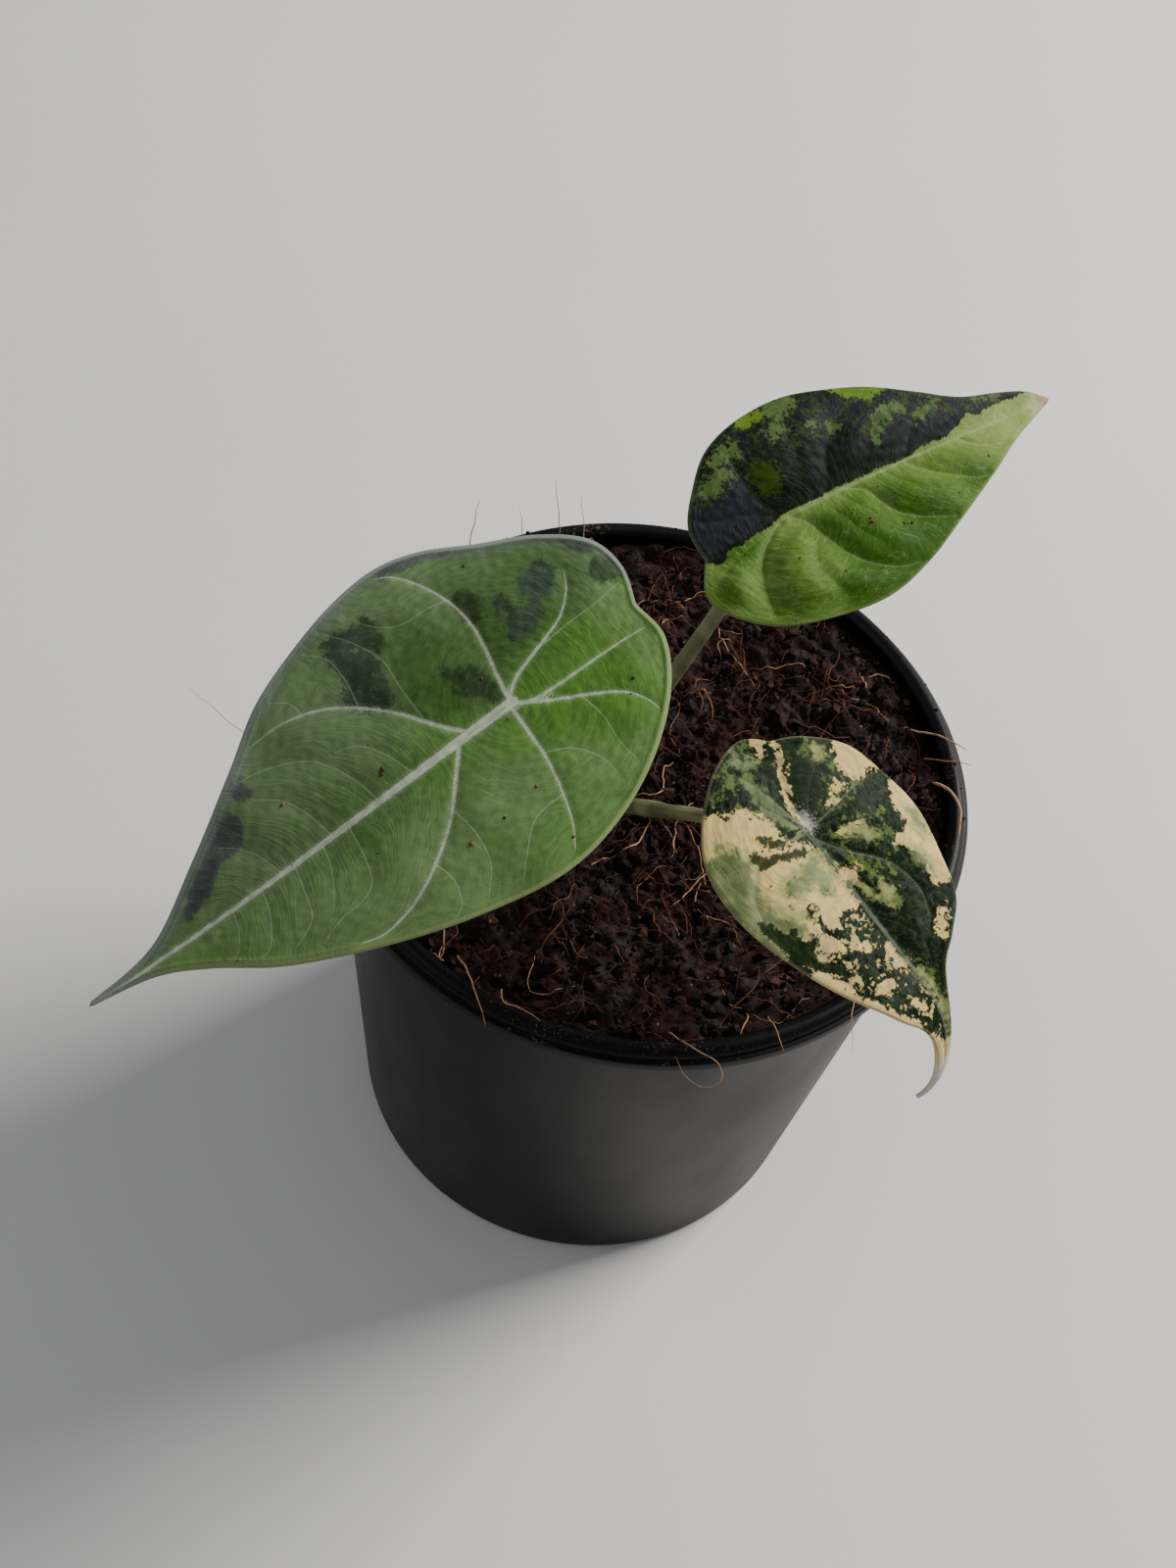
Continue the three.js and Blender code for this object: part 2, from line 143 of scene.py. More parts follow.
def mesh_piece(name, points, faces, finish):
    """A smooth mesh object at the origin, from points in millimetres and faces of one size."""
    mesh = bpy.data.meshes.new(name)
    mesh.vertices.add(len(points))
    mesh.vertices.foreach_set("co", np.ravel(points / 1000).astype(np.float32))
    mesh.loops.add(faces.size)
    mesh.loops.foreach_set("vertex_index", np.ravel(faces).astype(np.int32))
    mesh.polygons.add(len(faces))
    starts = np.arange(0, faces.size, faces.shape[1], dtype=np.int32)
    mesh.polygons.foreach_set("loop_start", starts)
    mesh.polygons.foreach_set("use_smooth", np.ones(len(faces), dtype=bool))
    mesh.update(calc_edges=True)
    mesh.materials.append(finish)
    piece = bpy.data.objects.new(name, mesh)
    scene.collection.objects.link(piece)
    return piece


def soft_light(name, place, size, watts, colour):
    """A square area light that looks at the middle of the plant."""
    lamp = bpy.data.lights.new(name, "AREA")
    lamp.size = size
    lamp.energy = watts
    lamp.color = colour
    light = bpy.data.objects.new(name, lamp)
    light.location = place
    light.rotation_euler = (PLANT_MIDDLE - light.location).to_track_quat("-Z", "Y").to_euler()
    scene.collection.objects.link(light)


look = Vector((0, math.cos(LOOK_DOWN), -math.sin(LOOK_DOWN)))
level_up = Vector((0, math.sin(LOOK_DOWN), math.cos(LOOK_DOWN)))
across = math.cos(LEAN) * Vector((1, 0, 0)) + math.sin(LEAN) * level_up
upward = across.cross(look)
lens = bpy.data.cameras.new("camera")
lens.lens = LENS
lens.clip_start = 0.01
camera = bpy.data.objects.new("camera", lens)
camera.matrix_world = Matrix.Translation(EYE) @ Matrix((across, upward, -look)).transposed().to_4x4()
scene.collection.objects.link(camera)
scene.camera = camera

soft_light("light_behind", (0.85, 0.65, 0.85), 0.6, 32, (1, 0.985, 0.96))
soft_light("light_left", (-0.9, -0.3, 0.9), 1.0, 3, (0.95, 0.97, 1))
scene.world = scene.world or bpy.data.worlds.new("studio")
scene.world.use_nodes = True
scene.world.node_tree.nodes["Background"].inputs["Color"].default_value = (0.9, 0.93, 1, 1)
scene.world.node_tree.nodes["Background"].inputs["Strength"].default_value = 0.32

table_finish, shader = new_finish("table_matt", Roughness=0.6)
feed(shader, {"Base Color": blend(noise(own_place(shader), 9, 2), "#cfcdc9", "#d6d4d0")})
corner = np.array([[-1, -1, 0], [1, -1, 0], [1, 1, 0], [-1, 1, 0]]) * TABLE_HALF
table = mesh_piece("table", corner - (0, 0, TABLE_DROP), np.array([[0, 1, 2, 3]]), table_finish)


# Pot
# A nursery pot injection-moulded in black polypropylene. Its rim is a round bead over a thin
# ledge and a short skirt, its floor stands on a foot ring and a boss, and six holes drain it.
POT_HEIGHT = 106
SKIRT_RADIUS = 60
SKIRT_DROP = 4.5
SKIRT_WALL = 1.1
BEAD_RADIUS = 59.2
BEAD_HEIGHT = 1.8
LEDGE_DROP = 2.2
TOP_RADIUS = 57.2
BASE_RADIUS = 46
WALL = 1.3
FLOOR = 2.6
FOOT_BEVEL = 1.5
FOOT_RING_INNER = 38
BOSS_RADIUS = 13
RECESS_DEPTH = 1.4
DRAIN_COUNT = 6
DRAIN_RADIUS = 4
DRAIN_CIRCLE = 26
DRAIN_RING = (20, 32)
POT_SECTORS = 240
SPOKE_STEPS = 8
PLATE_STEPS = 6
BEAD_STEPS = 22
WELD_REACH = 1e-7


def grid_faces(rows, columns, wrap=False):
    """Four-sided faces of a grid of points, closed round its columns where it wraps. They face
    the cross product of the way along the rows' index and the way along the columns' index."""
    index = np.arange(rows * columns).reshape(rows, columns)
    if wrap:
        index = np.hstack([index, index[:, :1]])
    return np.stack([index[:-1, :-1], index[1:, :-1], index[1:, 1:], index[:-1, 1:]], -1).reshape(-1, 4)


def unit(vectors):
    """The vectors, each at a length of 1."""
    return vectors / np.linalg.norm(vectors, axis=-1, keepdims=True)


def full_turn(count):
    """Angles of even steps once round."""
    return np.arange(count) * 2 * np.pi / count


def joined(shells):
    """One list of points and one of faces out of several shells."""
    points = np.vstack([shell[0].reshape(-1, 3) for shell in shells])
    starts = np.cumsum([0] + [shell[0].size // 3 for shell in shells[:-1]])
    return points, np.vstack([faces + start for (_, faces), start in zip(shells, starts)])


def weld(piece):
    """Merges the points that lie on each other at seams and poles."""
    whole = bmesh.new()
    whole.from_mesh(piece.data)
    bmesh.ops.remove_doubles(whole, verts=whole.verts, dist=WELD_REACH)
    whole.to_mesh(piece.data)
    whole.free()


def rounded(corners, steps=5):
    """Profile through corners of radius, height and rounding. A rounded corner is the quadratic
    curve that leaves each side its rounding away from the corner."""
    corners = np.array(corners, float)
    shares = np.linspace(0, 1, steps)[:, None]
    profile = [corners[:1, :2]]
    for before, at, after in zip(corners[:-2], corners[1:-1], corners[2:]):
        back = unit((before - at)[:2])
        ahead = unit((after - at)[:2])
        first, last = at[:2] + back * at[2], at[:2] + ahead * at[2]
        curve = (1 - shares) ** 2 * first + 2 * shares * (1 - shares) * at[:2] + shares ** 2 * last
        profile.append(curve if at[2] else at[None, :2])
    return np.vstack([*profile, corners[-1:, :2]])


def lathe(profile, sectors):
    """The profile's radius and height carried round the pot's axis. A profile that rises has
    faces that point away from the axis."""
    turn = full_turn(sectors)
    radius, height = profile[:, :1], profile[:, 1:]
    points = np.stack([radius * np.cos(turn), radius * np.sin(turn), height + 0 * turn], -1)
    return points, grid_faces(len(profile), sectors, wrap=True)[:, ::-1]


def wall_inside(height):
    """Inner radius of the tapered wall: it grows evenly from the foot to the rim."""
    rise = (height - FOOT_BEVEL) / (POT_HEIGHT - FOOT_BEVEL)
    return BASE_RADIUS + (TOP_RADIUS - BASE_RADIUS) * rise - WALL


def drain_plate(height):
    """Ring of the floor with the holes in it. Each hole's sector is spread on straight lines
    from the hole's edge to the sector's outline of two arcs and two spokes."""
    half = np.pi / DRAIN_COUNT
    arc = np.linspace(-half, half, POT_SECTORS // DRAIN_COUNT + 1)[:-1]
    share = np.linspace(0, 1, SPOKE_STEPS + 1)[:-1]
    inner, outer = DRAIN_RING
    outline = np.concatenate([
        outer * np.exp(1j * arc), (outer + (inner - outer) * share) * np.exp(1j * half),
        inner * np.exp(-1j * arc), (inner + (outer - inner) * share) * np.exp(-1j * half)])
    spoke = outline - DRAIN_CIRCLE
    edge = DRAIN_CIRCLE + DRAIN_RADIUS * spoke / abs(spoke)
    flat = edge + (outline - edge) * np.linspace(0, 1, PLATE_STEPS)[:, None]
    turned = [flat * np.exp(1j * half * (2 * k + 1)) for k in range(DRAIN_COUNT)]
    faces = grid_faces(*flat.shape, wrap=True)
    return [(np.stack([part.real, part.imag, 0 * part.real + height], -1), faces) for part in turned]


groove_top = POT_HEIGHT - LEDGE_DROP - SKIRT_WALL
skirt_foot = POT_HEIGHT - SKIRT_DROP
bead_inner = wall_inside(POT_HEIGHT - BEAD_HEIGHT)
bead_middle, bead_half = (BEAD_RADIUS + bead_inner) / 2, (BEAD_RADIUS - bead_inner) / 2
turn = np.linspace(0, np.pi, BEAD_STEPS)[:, None]
bead = np.hstack([
    bead_middle + bead_half * np.cos(turn), POT_HEIGHT - BEAD_HEIGHT + BEAD_HEIGHT * np.sin(turn)])
outside = rounded([
    (DRAIN_RING[1], RECESS_DEPTH, 0), (FOOT_RING_INNER - RECESS_DEPTH, RECESS_DEPTH, 0.6),
    (FOOT_RING_INNER, 0, 0.5), (BASE_RADIUS, 0, 1.7),
    (wall_inside(groove_top) + WALL, groove_top, 0.5), (SKIRT_RADIUS - SKIRT_WALL, groove_top, 0.4),
    (SKIRT_RADIUS - SKIRT_WALL, skirt_foot, 0.35), (SKIRT_RADIUS, skirt_foot, 0.35),
    (SKIRT_RADIUS, POT_HEIGHT - LEDGE_DROP, 0.3),
    (BEAD_RADIUS, POT_HEIGHT - LEDGE_DROP + 0.05, 0.25), tuple(bead[0]) + (0,)])
inside = rounded([
    tuple(bead[-1]) + (0,), (wall_inside(FLOOR), FLOOR, 2.2), (DRAIN_RING[1], FLOOR, 0)])
boss = rounded([
    (0, 0.7, 0), (1.2, 0.6, 0.4), (2, 0, 0.3), (BOSS_RADIUS, 0, 0.5),
    (BOSS_RADIUS + RECESS_DEPTH, RECESS_DEPTH, 0.5), (DRAIN_RING[0], RECESS_DEPTH, 0)])
middle = np.array([(DRAIN_RING[0], FLOOR), (0, FLOOR)])
under_plates, floor_plates = drain_plate(RECESS_DEPTH), drain_plate(FLOOR)
hole_walls = [
    (np.stack([low[0], high[0]]), grid_faces(2, low.shape[1], wrap=True))
    for (low, _), (high, _) in zip(under_plates, floor_plates)]
shells = [lathe(part, POT_SECTORS) for part in (boss, np.vstack([outside, bead[1:-1], inside]), middle)]
shells += [(points, faces[:, ::-1]) for points, faces in under_plates] + floor_plates + hole_walls


def ramp(value, low, high, start=0.0, end=1.0):
    """Number that eases from start to end as the value goes from low to high."""
    feeds = {"Value": value, "From Min": low, "From Max": high, "To Min": start, "To Max": end}
    return wire("MapRange", feeds, interpolation_type="SMOOTHSTEP")


def bump(height, strength, distance):
    """Way that the surface faces under fine relief, whose full height in metres is the distance."""
    return wire("Bump", {"Height": height, "Strength": strength, "Distance": distance})


def new_group(name, inputs, outputs):
    """A shader node group with its inputs' outputs and its closing node. An input has a number
    as its value, or None for a place. Outputs gives each one's kind."""
    group = bpy.data.node_groups.new(name, "ShaderNodeTree")
    for socket, value in inputs.items():
        kind = "NodeSocketVector" if value is None else "NodeSocketFloat"
        made = group.interface.new_socket(name=socket, in_out="INPUT", socket_type=kind)
        if value is not None:
            made.default_value = value
    for socket, kind in outputs.items():
        group.interface.new_socket(name=socket, in_out="OUTPUT", socket_type="NodeSocket" + kind)
    entry = group.nodes.new("NodeGroupInput")
    leave = group.nodes.new("NodeGroupOutput")
    return group, {socket: Output(entry.outputs[socket]) for socket in inputs}, leave


# Dust: fine grains that show where their noise passes an edge. Drifts lower it by the amount.
dust_group, given, leave = new_group(
    "dust", {"Place": None, "Grains": 900.0, "Amount": 0.2}, {"Mask": "Float"})
drift = noise(given["Place"], 38, 4)
grains = noise(given["Place"], given["Grains"], 3, Roughness=0.7)
edge = 0.78 - ramp(drift, 0.35, 0.75) * given["Amount"]
feed(leave, {"Mask": ramp(grains, edge, edge + 0.07)})

pot_finish, shader = new_finish("black_polypropylene", IOR=1.45, Specular_IOR_Level=0.16)
place = own_place(shader)
facing = wire("SeparateXYZ", {0: add_node(shader.id_data, "NewGeometry", {}, "Normal")}, 2)
height = wire("SeparateXYZ", {0: place}, 2)
on_top = ramp(facing, -0.1, 0.9) * ramp(height, 0.085, 0.106)
dust = wire("Group", {"Place": place, "Grains": 1500, "Amount": on_top * 0.3 + 0.1}, "Mask",
            node_tree=dust_group)
streaks = noise(wire("Mapping", {"Vector": place, "Scale": (1, 1, 0.5)}), 70, 6)
swirl = noise(place, 55, 5, Distortion=1.2)
slanted = wire("Mapping", {"Vector": place, "Rotation": (0.5, 0.9, 0.4), "Scale": (1, 0.04, 0.04)})
scratch = ramp(noise(slanted, 1800, 2), 0.68, 0.74) * ramp(swirl, 0.5, 0.65)
black = blend(swirl, "#040405", "#09090b")
black = blend(scratch * 0.2, black, "#38383c")
black = blend(dust * 0.75, black, "#5b4636")
satin = reckon("MAXIMUM", ramp(streaks, 0.3, 0.7, 0.4, 0.46), dust * 0.85)
relief = noise(place, 700, 3) * 0.35 + (dust - scratch)
feed(shader, {"Base Color": black, "Roughness": satin, "Normal": bump(relief, 0.5, 0.00006)})

pot = mesh_piece("pot_shell", *joined(shells), pot_finish)
weld(pot)
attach(pot, "root")
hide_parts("pot")


# Soil
# Coco substrate filled to just under the rim. The bed is one mass of moist dark crumbs, with
# loose crumbs and coir fibres lying on it, and a few of the crumbs on the rim.
SOIL_LEVEL = POT_HEIGHT - 3
SOIL_SWELL = 0.7
SWELL_X = (0.11, 1.3)
SWELL_Y = (0.13, -0.4)
SOIL_ROUGHNESS = ((9, 0.7, 1), (4.2, 0.8, 2), (2.1, 0.55, 3), (1.1, 0.3, 4))
CRUMB_COUNT = 170
CRUMB_RADIUS = (2.2, 4.6)
CRUMB_HEIGHT = (0.5, 1.5)
CRUMB_OUTWARD = (0.3, 0.7)
CRUMB_TURN = (0, 0.3)
GAP = 0.3
SOIL_SECTORS = 320
SOIL_RINGS = 120
GRAIN_COUNT = 5700
RIM_GRAINS = 130
GRAIN_RADIUS = 0.22
GRAIN_GROWTH = 1.2
GRAIN_LIFT = 0.25
RIM_GRAIN_RADIUS = (0.12, 0.42)
RIM_GRAIN_TURN = (20, 160)
LUMP_CORNERS = 12
LUMP_ROUGHNESS = (0.55, 1.3)
LUMP_STRETCH = (0.45, 1.25)
FIBRE_COUNT = 560
FIBRE_STEPS = 14
FIBRE_SIDES = 4
FIBRE_LENGTH = (4, 20)
FIBRE_RADIUS = (0.05, 0.17)
FIBRE_THINNING = 0.6
FIBRE_LIFT = 0.35
FIBRE_CURL = 1.2
FIBRE_WAVE = (0.1, 0.7)
FIBRE_WAVE_RATE = (3, 11)
FIBRE_ARCH = 5
FIBRE_TAIL = (2, 8)
FLAT_FIBRES = 0.93


def vary(low, high, numbers):
    """Values inside a range that jump about from one whole number to the next."""
    value = np.sin(numbers * 12.9898) * 43758.5453
    return low + (high - low) * (value - np.floor(value))


def ripples(places, size, seed, waves=26):
    """Smooth noise of about -1 to 1: sine waves of about one length in random directions,
    added up and divided by 1.6 times the square root of half their number."""
    draw = np.random.default_rng(seed)
    heading = draw.normal(size=(places.shape[-1], waves))
    heading /= np.linalg.norm(heading, axis=0)
    rate = 2 * np.pi / (size * draw.uniform(0.7, 1.5, waves))
    phase = draw.uniform(0, 2 * np.pi, waves)
    return np.sin(places @ (heading * rate) + phase).sum(-1) / np.sqrt(waves / 2) / 1.6


def soil_height(x, y):
    """Slow swells, over them the tallest low dome of the big crumbs at that place, which lie on
    a shifted sunflower spiral, and over those ridged noise, each of a size, depth and seed."""
    number = np.arange(CRUMB_COUNT)
    share = (number + vary(*CRUMB_OUTWARD, number)) / CRUMB_COUNT
    reach = (wall_inside(SOIL_LEVEL) - GAP) * np.sqrt(share)
    angle = number * np.pi * (3 - np.sqrt(5)) + vary(*CRUMB_TURN, number + 500)
    aside = np.hypot(x[..., None] - reach * np.cos(angle), y[..., None] - reach * np.sin(angle))
    away = aside / vary(*CRUMB_RADIUS, number + 900)
    dome = (vary(*CRUMB_HEIGHT, number + 1300) * np.clip(1 - away ** 2, 0, 1)).max(-1)
    swell = SOIL_SWELL * np.sin(SWELL_X[0] * x + SWELL_X[1]) * np.cos(SWELL_Y[0] * y + SWELL_Y[1])
    flat = np.stack([x, y], -1)
    rough = sum(depth * (0.45 - abs(ripples(flat, size, seed))) for size, depth, seed in SOIL_ROUGHNESS)
    return SOIL_LEVEL - CRUMB_HEIGHT[0] + swell + dome + rough


soil_edge = wall_inside(SOIL_LEVEL) - 0.1
ring, turn = soil_edge * np.linspace(0, 1, SOIL_RINGS), full_turn(SOIL_SECTORS)
x, y = np.outer(ring, np.cos(turn)), np.outer(ring, np.sin(turn))
side = np.array([
    (soil_edge - 0.2, SOIL_LEVEL - 6), (wall_inside(FLOOR + 1) - GAP, FLOOR + 1 + GAP),
    (wall_inside(FLOOR) - 1 - GAP, FLOOR + GAP), (0, FLOOR + GAP)])
bed = np.concatenate([np.stack([x, y, soil_height(x, y)], -1), lathe(side, SOIL_SECTORS)[0]])

# Crumb: mottled dark browns with fine pale and reddish bits. Tone shifts a whole crumb's colour.
crumb_group, given, leave = new_group(
    "coco_crumb", {"Place": None, "Tone": 0.5}, {"Colour": "Color", "Height": "Float"})
clods = noise(given["Place"], 260, 8, Roughness=0.68)
threads = noise(given["Place"], 900, 3, Distortion=2.5)
bits = wire("TexVoronoi", {"Vector": given["Place"], "Scale": 1100}, "Color")
off_bit = bits.beside("Distance")
pale_bit = ramp(wire("SeparateColor", {0: bits}), 0.955, 0.97) * ramp(off_bit, 0.45, 0.2)
brown = blend(ramp(clods, 0.35, 0.62), "#0b0504", "#27140d")
brown = blend(ramp(given["Tone"], 0.5, 1, 0, 0.6), brown, "#452a1c")
brown = blend(ramp(threads, 0.6, 0.72, 0, 0.4), brown, "#45261a")
brown = blend(pale_bit * 0.55, brown, "#7d6a5a")
feed(leave, {"Colour": brown, "Height": clods + off_bit * -0.35})


def measure(piece, name, values):
    """Keeps a number, or a place in millimetres, on every vertex for the material to read."""
    vector = values.ndim == 2
    layer = piece.data.attributes.new(name, "FLOAT_VECTOR" if vector else "FLOAT", "POINT")
    layer.data.foreach_set("vector" if vector else "value", np.ravel(values).astype(np.float32))


def own_measure(shader, name, output="Fac"):
    """A number that the piece keeps, or a place if the output is Vector."""
    return add_node(shader.id_data, "Attribute", {}, output, attribute_name=name)


def coco_finish(name, tone=None):
    """Matt moist coco. Tone is a value, or else the piece's own measure."""
    finish, shader = new_finish(name, IOR=1.4, Specular_IOR_Level=0.2)
    place = own_place(shader)
    feeds = {"Place": place, "Tone": tone or own_measure(shader, "tone")}
    colour = wire("Group", feeds, "Colour", node_tree=crumb_group)
    feed(shader, {
        "Base Color": colour, "Roughness": ramp(noise(place, 120, 4), 0.35, 0.65, 0.62, 0.95),
        "Normal": bump(colour.beside("Height"), 0.9, 0.0004)})
    return finish


soil = mesh_piece("soil_bed", bed.reshape(-1, 3), grid_faces(len(bed), SOIL_SECTORS, wrap=True),
                  coco_finish("coco_bed", 0.3))
weld(soil)
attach(soil, "root")
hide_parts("soil")


def turned(draw, count):
    """Random turns in space, as one matrix for each, from unit quaternions."""
    w, x, y, z = (lambda q: q / np.linalg.norm(q, axis=0))(draw.normal(size=(4, count)))
    rows = [[1 - 2 * (y * y + z * z), 2 * (x * y - z * w), 2 * (x * z + y * w)],
            [2 * (x * y + z * w), 1 - 2 * (x * x + z * z), 2 * (y * z - x * w)],
            [2 * (x * z - y * w), 2 * (y * z + x * w), 1 - 2 * (x * x + y * y)]]
    return np.array(rows).transpose(2, 0, 1)


def lumps(draw, centres, radii):
    """A rough pebble of twenty faces at each centre: an icosahedron pushed in and out at its
    corners, stretched along its own axes and turned at random."""
    ball = bmesh.new()
    bmesh.ops.create_icosphere(ball, subdivisions=1, radius=1)
    corners = np.array([corner.co[:] for corner in ball.verts])
    faces = np.array([[corner.index for corner in face.verts] for face in ball.faces])
    ball.free()
    count = len(centres)
    shape = corners * draw.uniform(*LUMP_ROUGHNESS, (count, len(corners), 1))
    shape *= draw.uniform(*LUMP_STRETCH, (count, 1, 3)) * radii[:, None, None]
    points = np.einsum("nij,nkj->nki", turned(draw, count), shape) + centres[:, None]
    every = faces + (np.arange(count) * len(corners))[:, None, None]
    return points.reshape(-1, 3), every.reshape(-1, 3)


draw = np.random.default_rng(11)
reach = (soil_edge - 1) * np.sqrt(draw.uniform(0, 1, GRAIN_COUNT))
angle = draw.uniform(0, 2 * np.pi, GRAIN_COUNT)
x, y = reach * np.cos(angle), reach * np.sin(angle)
size = GRAIN_RADIUS + GRAIN_GROWTH * draw.uniform(0, 1, GRAIN_COUNT) ** 4
z = soil_height(x, y) + GRAIN_LIFT * size
roll = np.radians(draw.uniform(*RIM_GRAIN_TURN, RIM_GRAINS))
x[:RIM_GRAINS] = (bead_middle + bead_half * np.cos(roll)) * np.cos(angle[:RIM_GRAINS])
y[:RIM_GRAINS] = (bead_middle + bead_half * np.cos(roll)) * np.sin(angle[:RIM_GRAINS])
z[:RIM_GRAINS] = POT_HEIGHT - BEAD_HEIGHT + BEAD_HEIGHT * np.sin(roll) + 0.05
size[:RIM_GRAINS] = draw.uniform(*RIM_GRAIN_RADIUS, RIM_GRAINS)
centres = np.stack([x, y, z], -1)
grains = mesh_piece("soil_crumbs", *lumps(draw, centres, size), coco_finish("coco_crumbs"))
measure(grains, "tone", np.repeat(draw.uniform(0, 1, GRAIN_COUNT) ** 1.5, LUMP_CORNERS))
grains.data.polygons.foreach_set("use_smooth", np.zeros(len(grains.data.polygons), dtype=bool))
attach(grains, "root")


def strands(paths, radii, sides):
    """Thin rods along many paths at once: a ring of corners square to each path at each of its
    points, closed by a point at both ends."""
    ahead = unit(np.gradient(paths, axis=1))
    aside = unit(np.cross(ahead, (0.13, 0.07, 1.0)))
    other = np.cross(ahead, aside)
    turn = full_turn(sides)[:, None]
    middle = paths[:, :, None]
    rim = middle + radii[:, :, None, None] * (
        np.cos(turn) * aside[:, :, None] + np.sin(turn) * other[:, :, None])
    rim = np.concatenate([middle[:, :1] + 0 * rim[:, :1], rim, middle[:, -1:] + 0 * rim[:, :1]], 1)
    count, steps = rim.shape[:2]
    faces = grid_faces(steps, sides, wrap=True)[:, ::-1]
    every = faces + (np.arange(count) * steps * sides)[:, None, None]
    return rim.reshape(-1, 3), every.reshape(-1, 4)


share = np.linspace(0, 1, FIBRE_STEPS)
reach = (soil_edge - 4) * np.sqrt(draw.uniform(0, 1, FIBRE_COUNT))
angle = draw.uniform(0, 2 * np.pi, FIBRE_COUNT)
each = (FIBRE_COUNT, 1)
length = draw.uniform(*FIBRE_LENGTH, each)
heading = draw.uniform(0, 2 * np.pi, each) + draw.normal(0, FIBRE_CURL, each) * share
heading = heading + draw.uniform(*FIBRE_WAVE, each) * np.sin(
    share * draw.uniform(*FIBRE_WAVE_RATE, each) + draw.uniform(0, 6, each))
step = length / FIBRE_STEPS
x = (reach * np.cos(angle))[:, None] + np.cumsum(np.cos(heading) * step, 1)
y = (reach * np.sin(angle))[:, None] + np.cumsum(np.sin(heading) * step, 1)
inward = np.minimum(1, (soil_edge - 0.6) / np.hypot(x, y))
x, y = x * inward, y * inward
arch = draw.uniform(0, 1, each) ** 4 * FIBRE_ARCH * np.sin(np.pi * share)
tail = (draw.uniform(0, 1, each) > FLAT_FIBRES) * draw.uniform(*FIBRE_TAIL, each) * share ** 2
z = soil_height(x, y) + FIBRE_LIFT + arch + tail
fibre_paths = np.stack([x, y, z], -1)
fibre_radii = draw.uniform(*FIBRE_RADIUS, each) * (1 - FIBRE_THINNING * abs(2 * share - 1) ** 3)

fibre_finish, shader = new_finish("coir_fibre", Specular_IOR_Level=0.25, Roughness=0.7)
tone, grain = own_measure(shader, "tone"), noise(own_place(shader), 800, 3)
russet = blend(ramp(tone, 0.1, 0.75), "#23130c", "#643823")
russet = blend(ramp(tone, 0.82, 0.95), russet, "#b08a68")
feed(shader, {"Base Color": blend(ramp(grain, 0.45, 0.7, 0, 0.5), russet, "#3a2216")})
fibres = mesh_piece("coir_fibres", *strands(fibre_paths, fibre_radii, FIBRE_SIDES), fibre_finish)
measure(fibres, "tone", np.repeat(draw.uniform(0, 1, FIBRE_COUNT), (FIBRE_STEPS + 2) * FIBRE_SIDES))
weld(fibres)
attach(fibres, "root")


# Leaves and stalks
# Each leaf's stalk bears its blade at the joint, where the main veins meet. The blade's midrib
# bends in its own upright plane, and its halves rise from it in a soft valley and arch over.
LARGE = {
    "place": (-23.4, -46.3, 76), "heading": 231.3, "dip": 8, "bank": -20,
    "bends": ((60, 14), (20, 10)), "back_bend": 0.2, "fold": 0.32, "arch": 60,
    "notch": (-25.9, -1), "tip": (75.4, -2.3),
    "left": ((-25.8, 5.5), (-20.5, 12.6), (-11, 19.3), (0, 23.6), (11.5, 24.5), (25, 21.5),
             (38, 16.6), (50, 10.4), (58.5, 4), (65.5, 0)),
    "right": ((-27.4, -6.5), (-25.4, -12.4), (-18.7, -17.8), (-10.5, -21.6), (-2, -26),
              (7, -27.6), (19, -25.5), (30.5, -21.6), (40, -15.7), (51, -9.3), (63.5, -3)),
    "stalk_radius": (2.3, 1.6), "stalk_bow": (0.5, 0.5, 4),
}
UPPER = {
    "place": (12.4, 5.5, 70), "heading": 42.5, "dip": -4, "bank": 15,
    "bends": ((45, 12), (15, 0)), "back_bend": 0.2, "fold": 0.32, "arch": 40,
    "notch": (-14.9, -0.5), "tip": (60, 0.4),
    "left": ((-14.9, 5), (-11.3, 10), (-5.5, 15.2), (3, 17.9), (13, 17.8), (24, 14.7),
             (34, 9.8), (42, 6.1), (50, 4.4), (56, 2.8)),
    "right": ((-18.4, -6), (-16.9, -10.6), (-11.3, -15.6), (-3, -18.3), (8, -19.5),
              (18, -17.3), (28, -13), (38, -8.6), (49, -3.5)),
    "stalk_radius": (2, 1.25), "stalk_bow": (1.2, 0, 0),
}
VARIEGATED = {
    "place": (25.8, -34, 42), "heading": -38.2, "dip": 20, "bank": 0,
    "bends": ((30, -4.5), (12, 54.7), (22, 38.7)), "back_bend": 0.2, "fold": 0.25, "arch": 40,
    "notch": (-14.5, 4.2), "tip": (63.8, 0.2),
    "left": ((-12, 9.6), (-6.2, 16), (1, 18.6), (8.5, 19.7), (16.5, 17.6), (23.3, 14.8),
             (27.6, 9.7), (31.8, 4.3), (39.5, 1.4), (52, 0.8)),
    "right": ((-17.4, 0), (-15.3, -7.8), (-9.8, -14.8), (-3, -18.9), (6, -19.3), (16, -16.8),
              (25, -13), (33, -8), (39.5, -3), (52, -0.5)),
    "stalk_radius": (1.9, 1.15), "stalk_bow": (0, 0, 0.5),
}
BLADE_THICKNESS = 0.8
RIB_KEEL = 0.9
RIB_KEEL_WIDTH = 1.7
RIB_VALLEY = 1.5
STEM_PLACE = np.array([-11, -10, SOIL_LEVEL])
STEM_RADIUS = 4.3
STEM_NECK_RADIUS = 3.5
STEM_TOP = 8
STALK_ROOT_HEIGHT = 3.2
STALK_BENDS_AT = (0.3, 0.7)
STALK_SLIMMING = 2.5
STALK_SHEATH = 0.22
STALK_FLARE = 0.16
STALK_FLATTENING = 0.1
STALK_SIDES = 40
STALK_STEPS = 120
STUMP_SIDES = 72
STUMP_STEPS = 90
STUMP_FOOT = -4


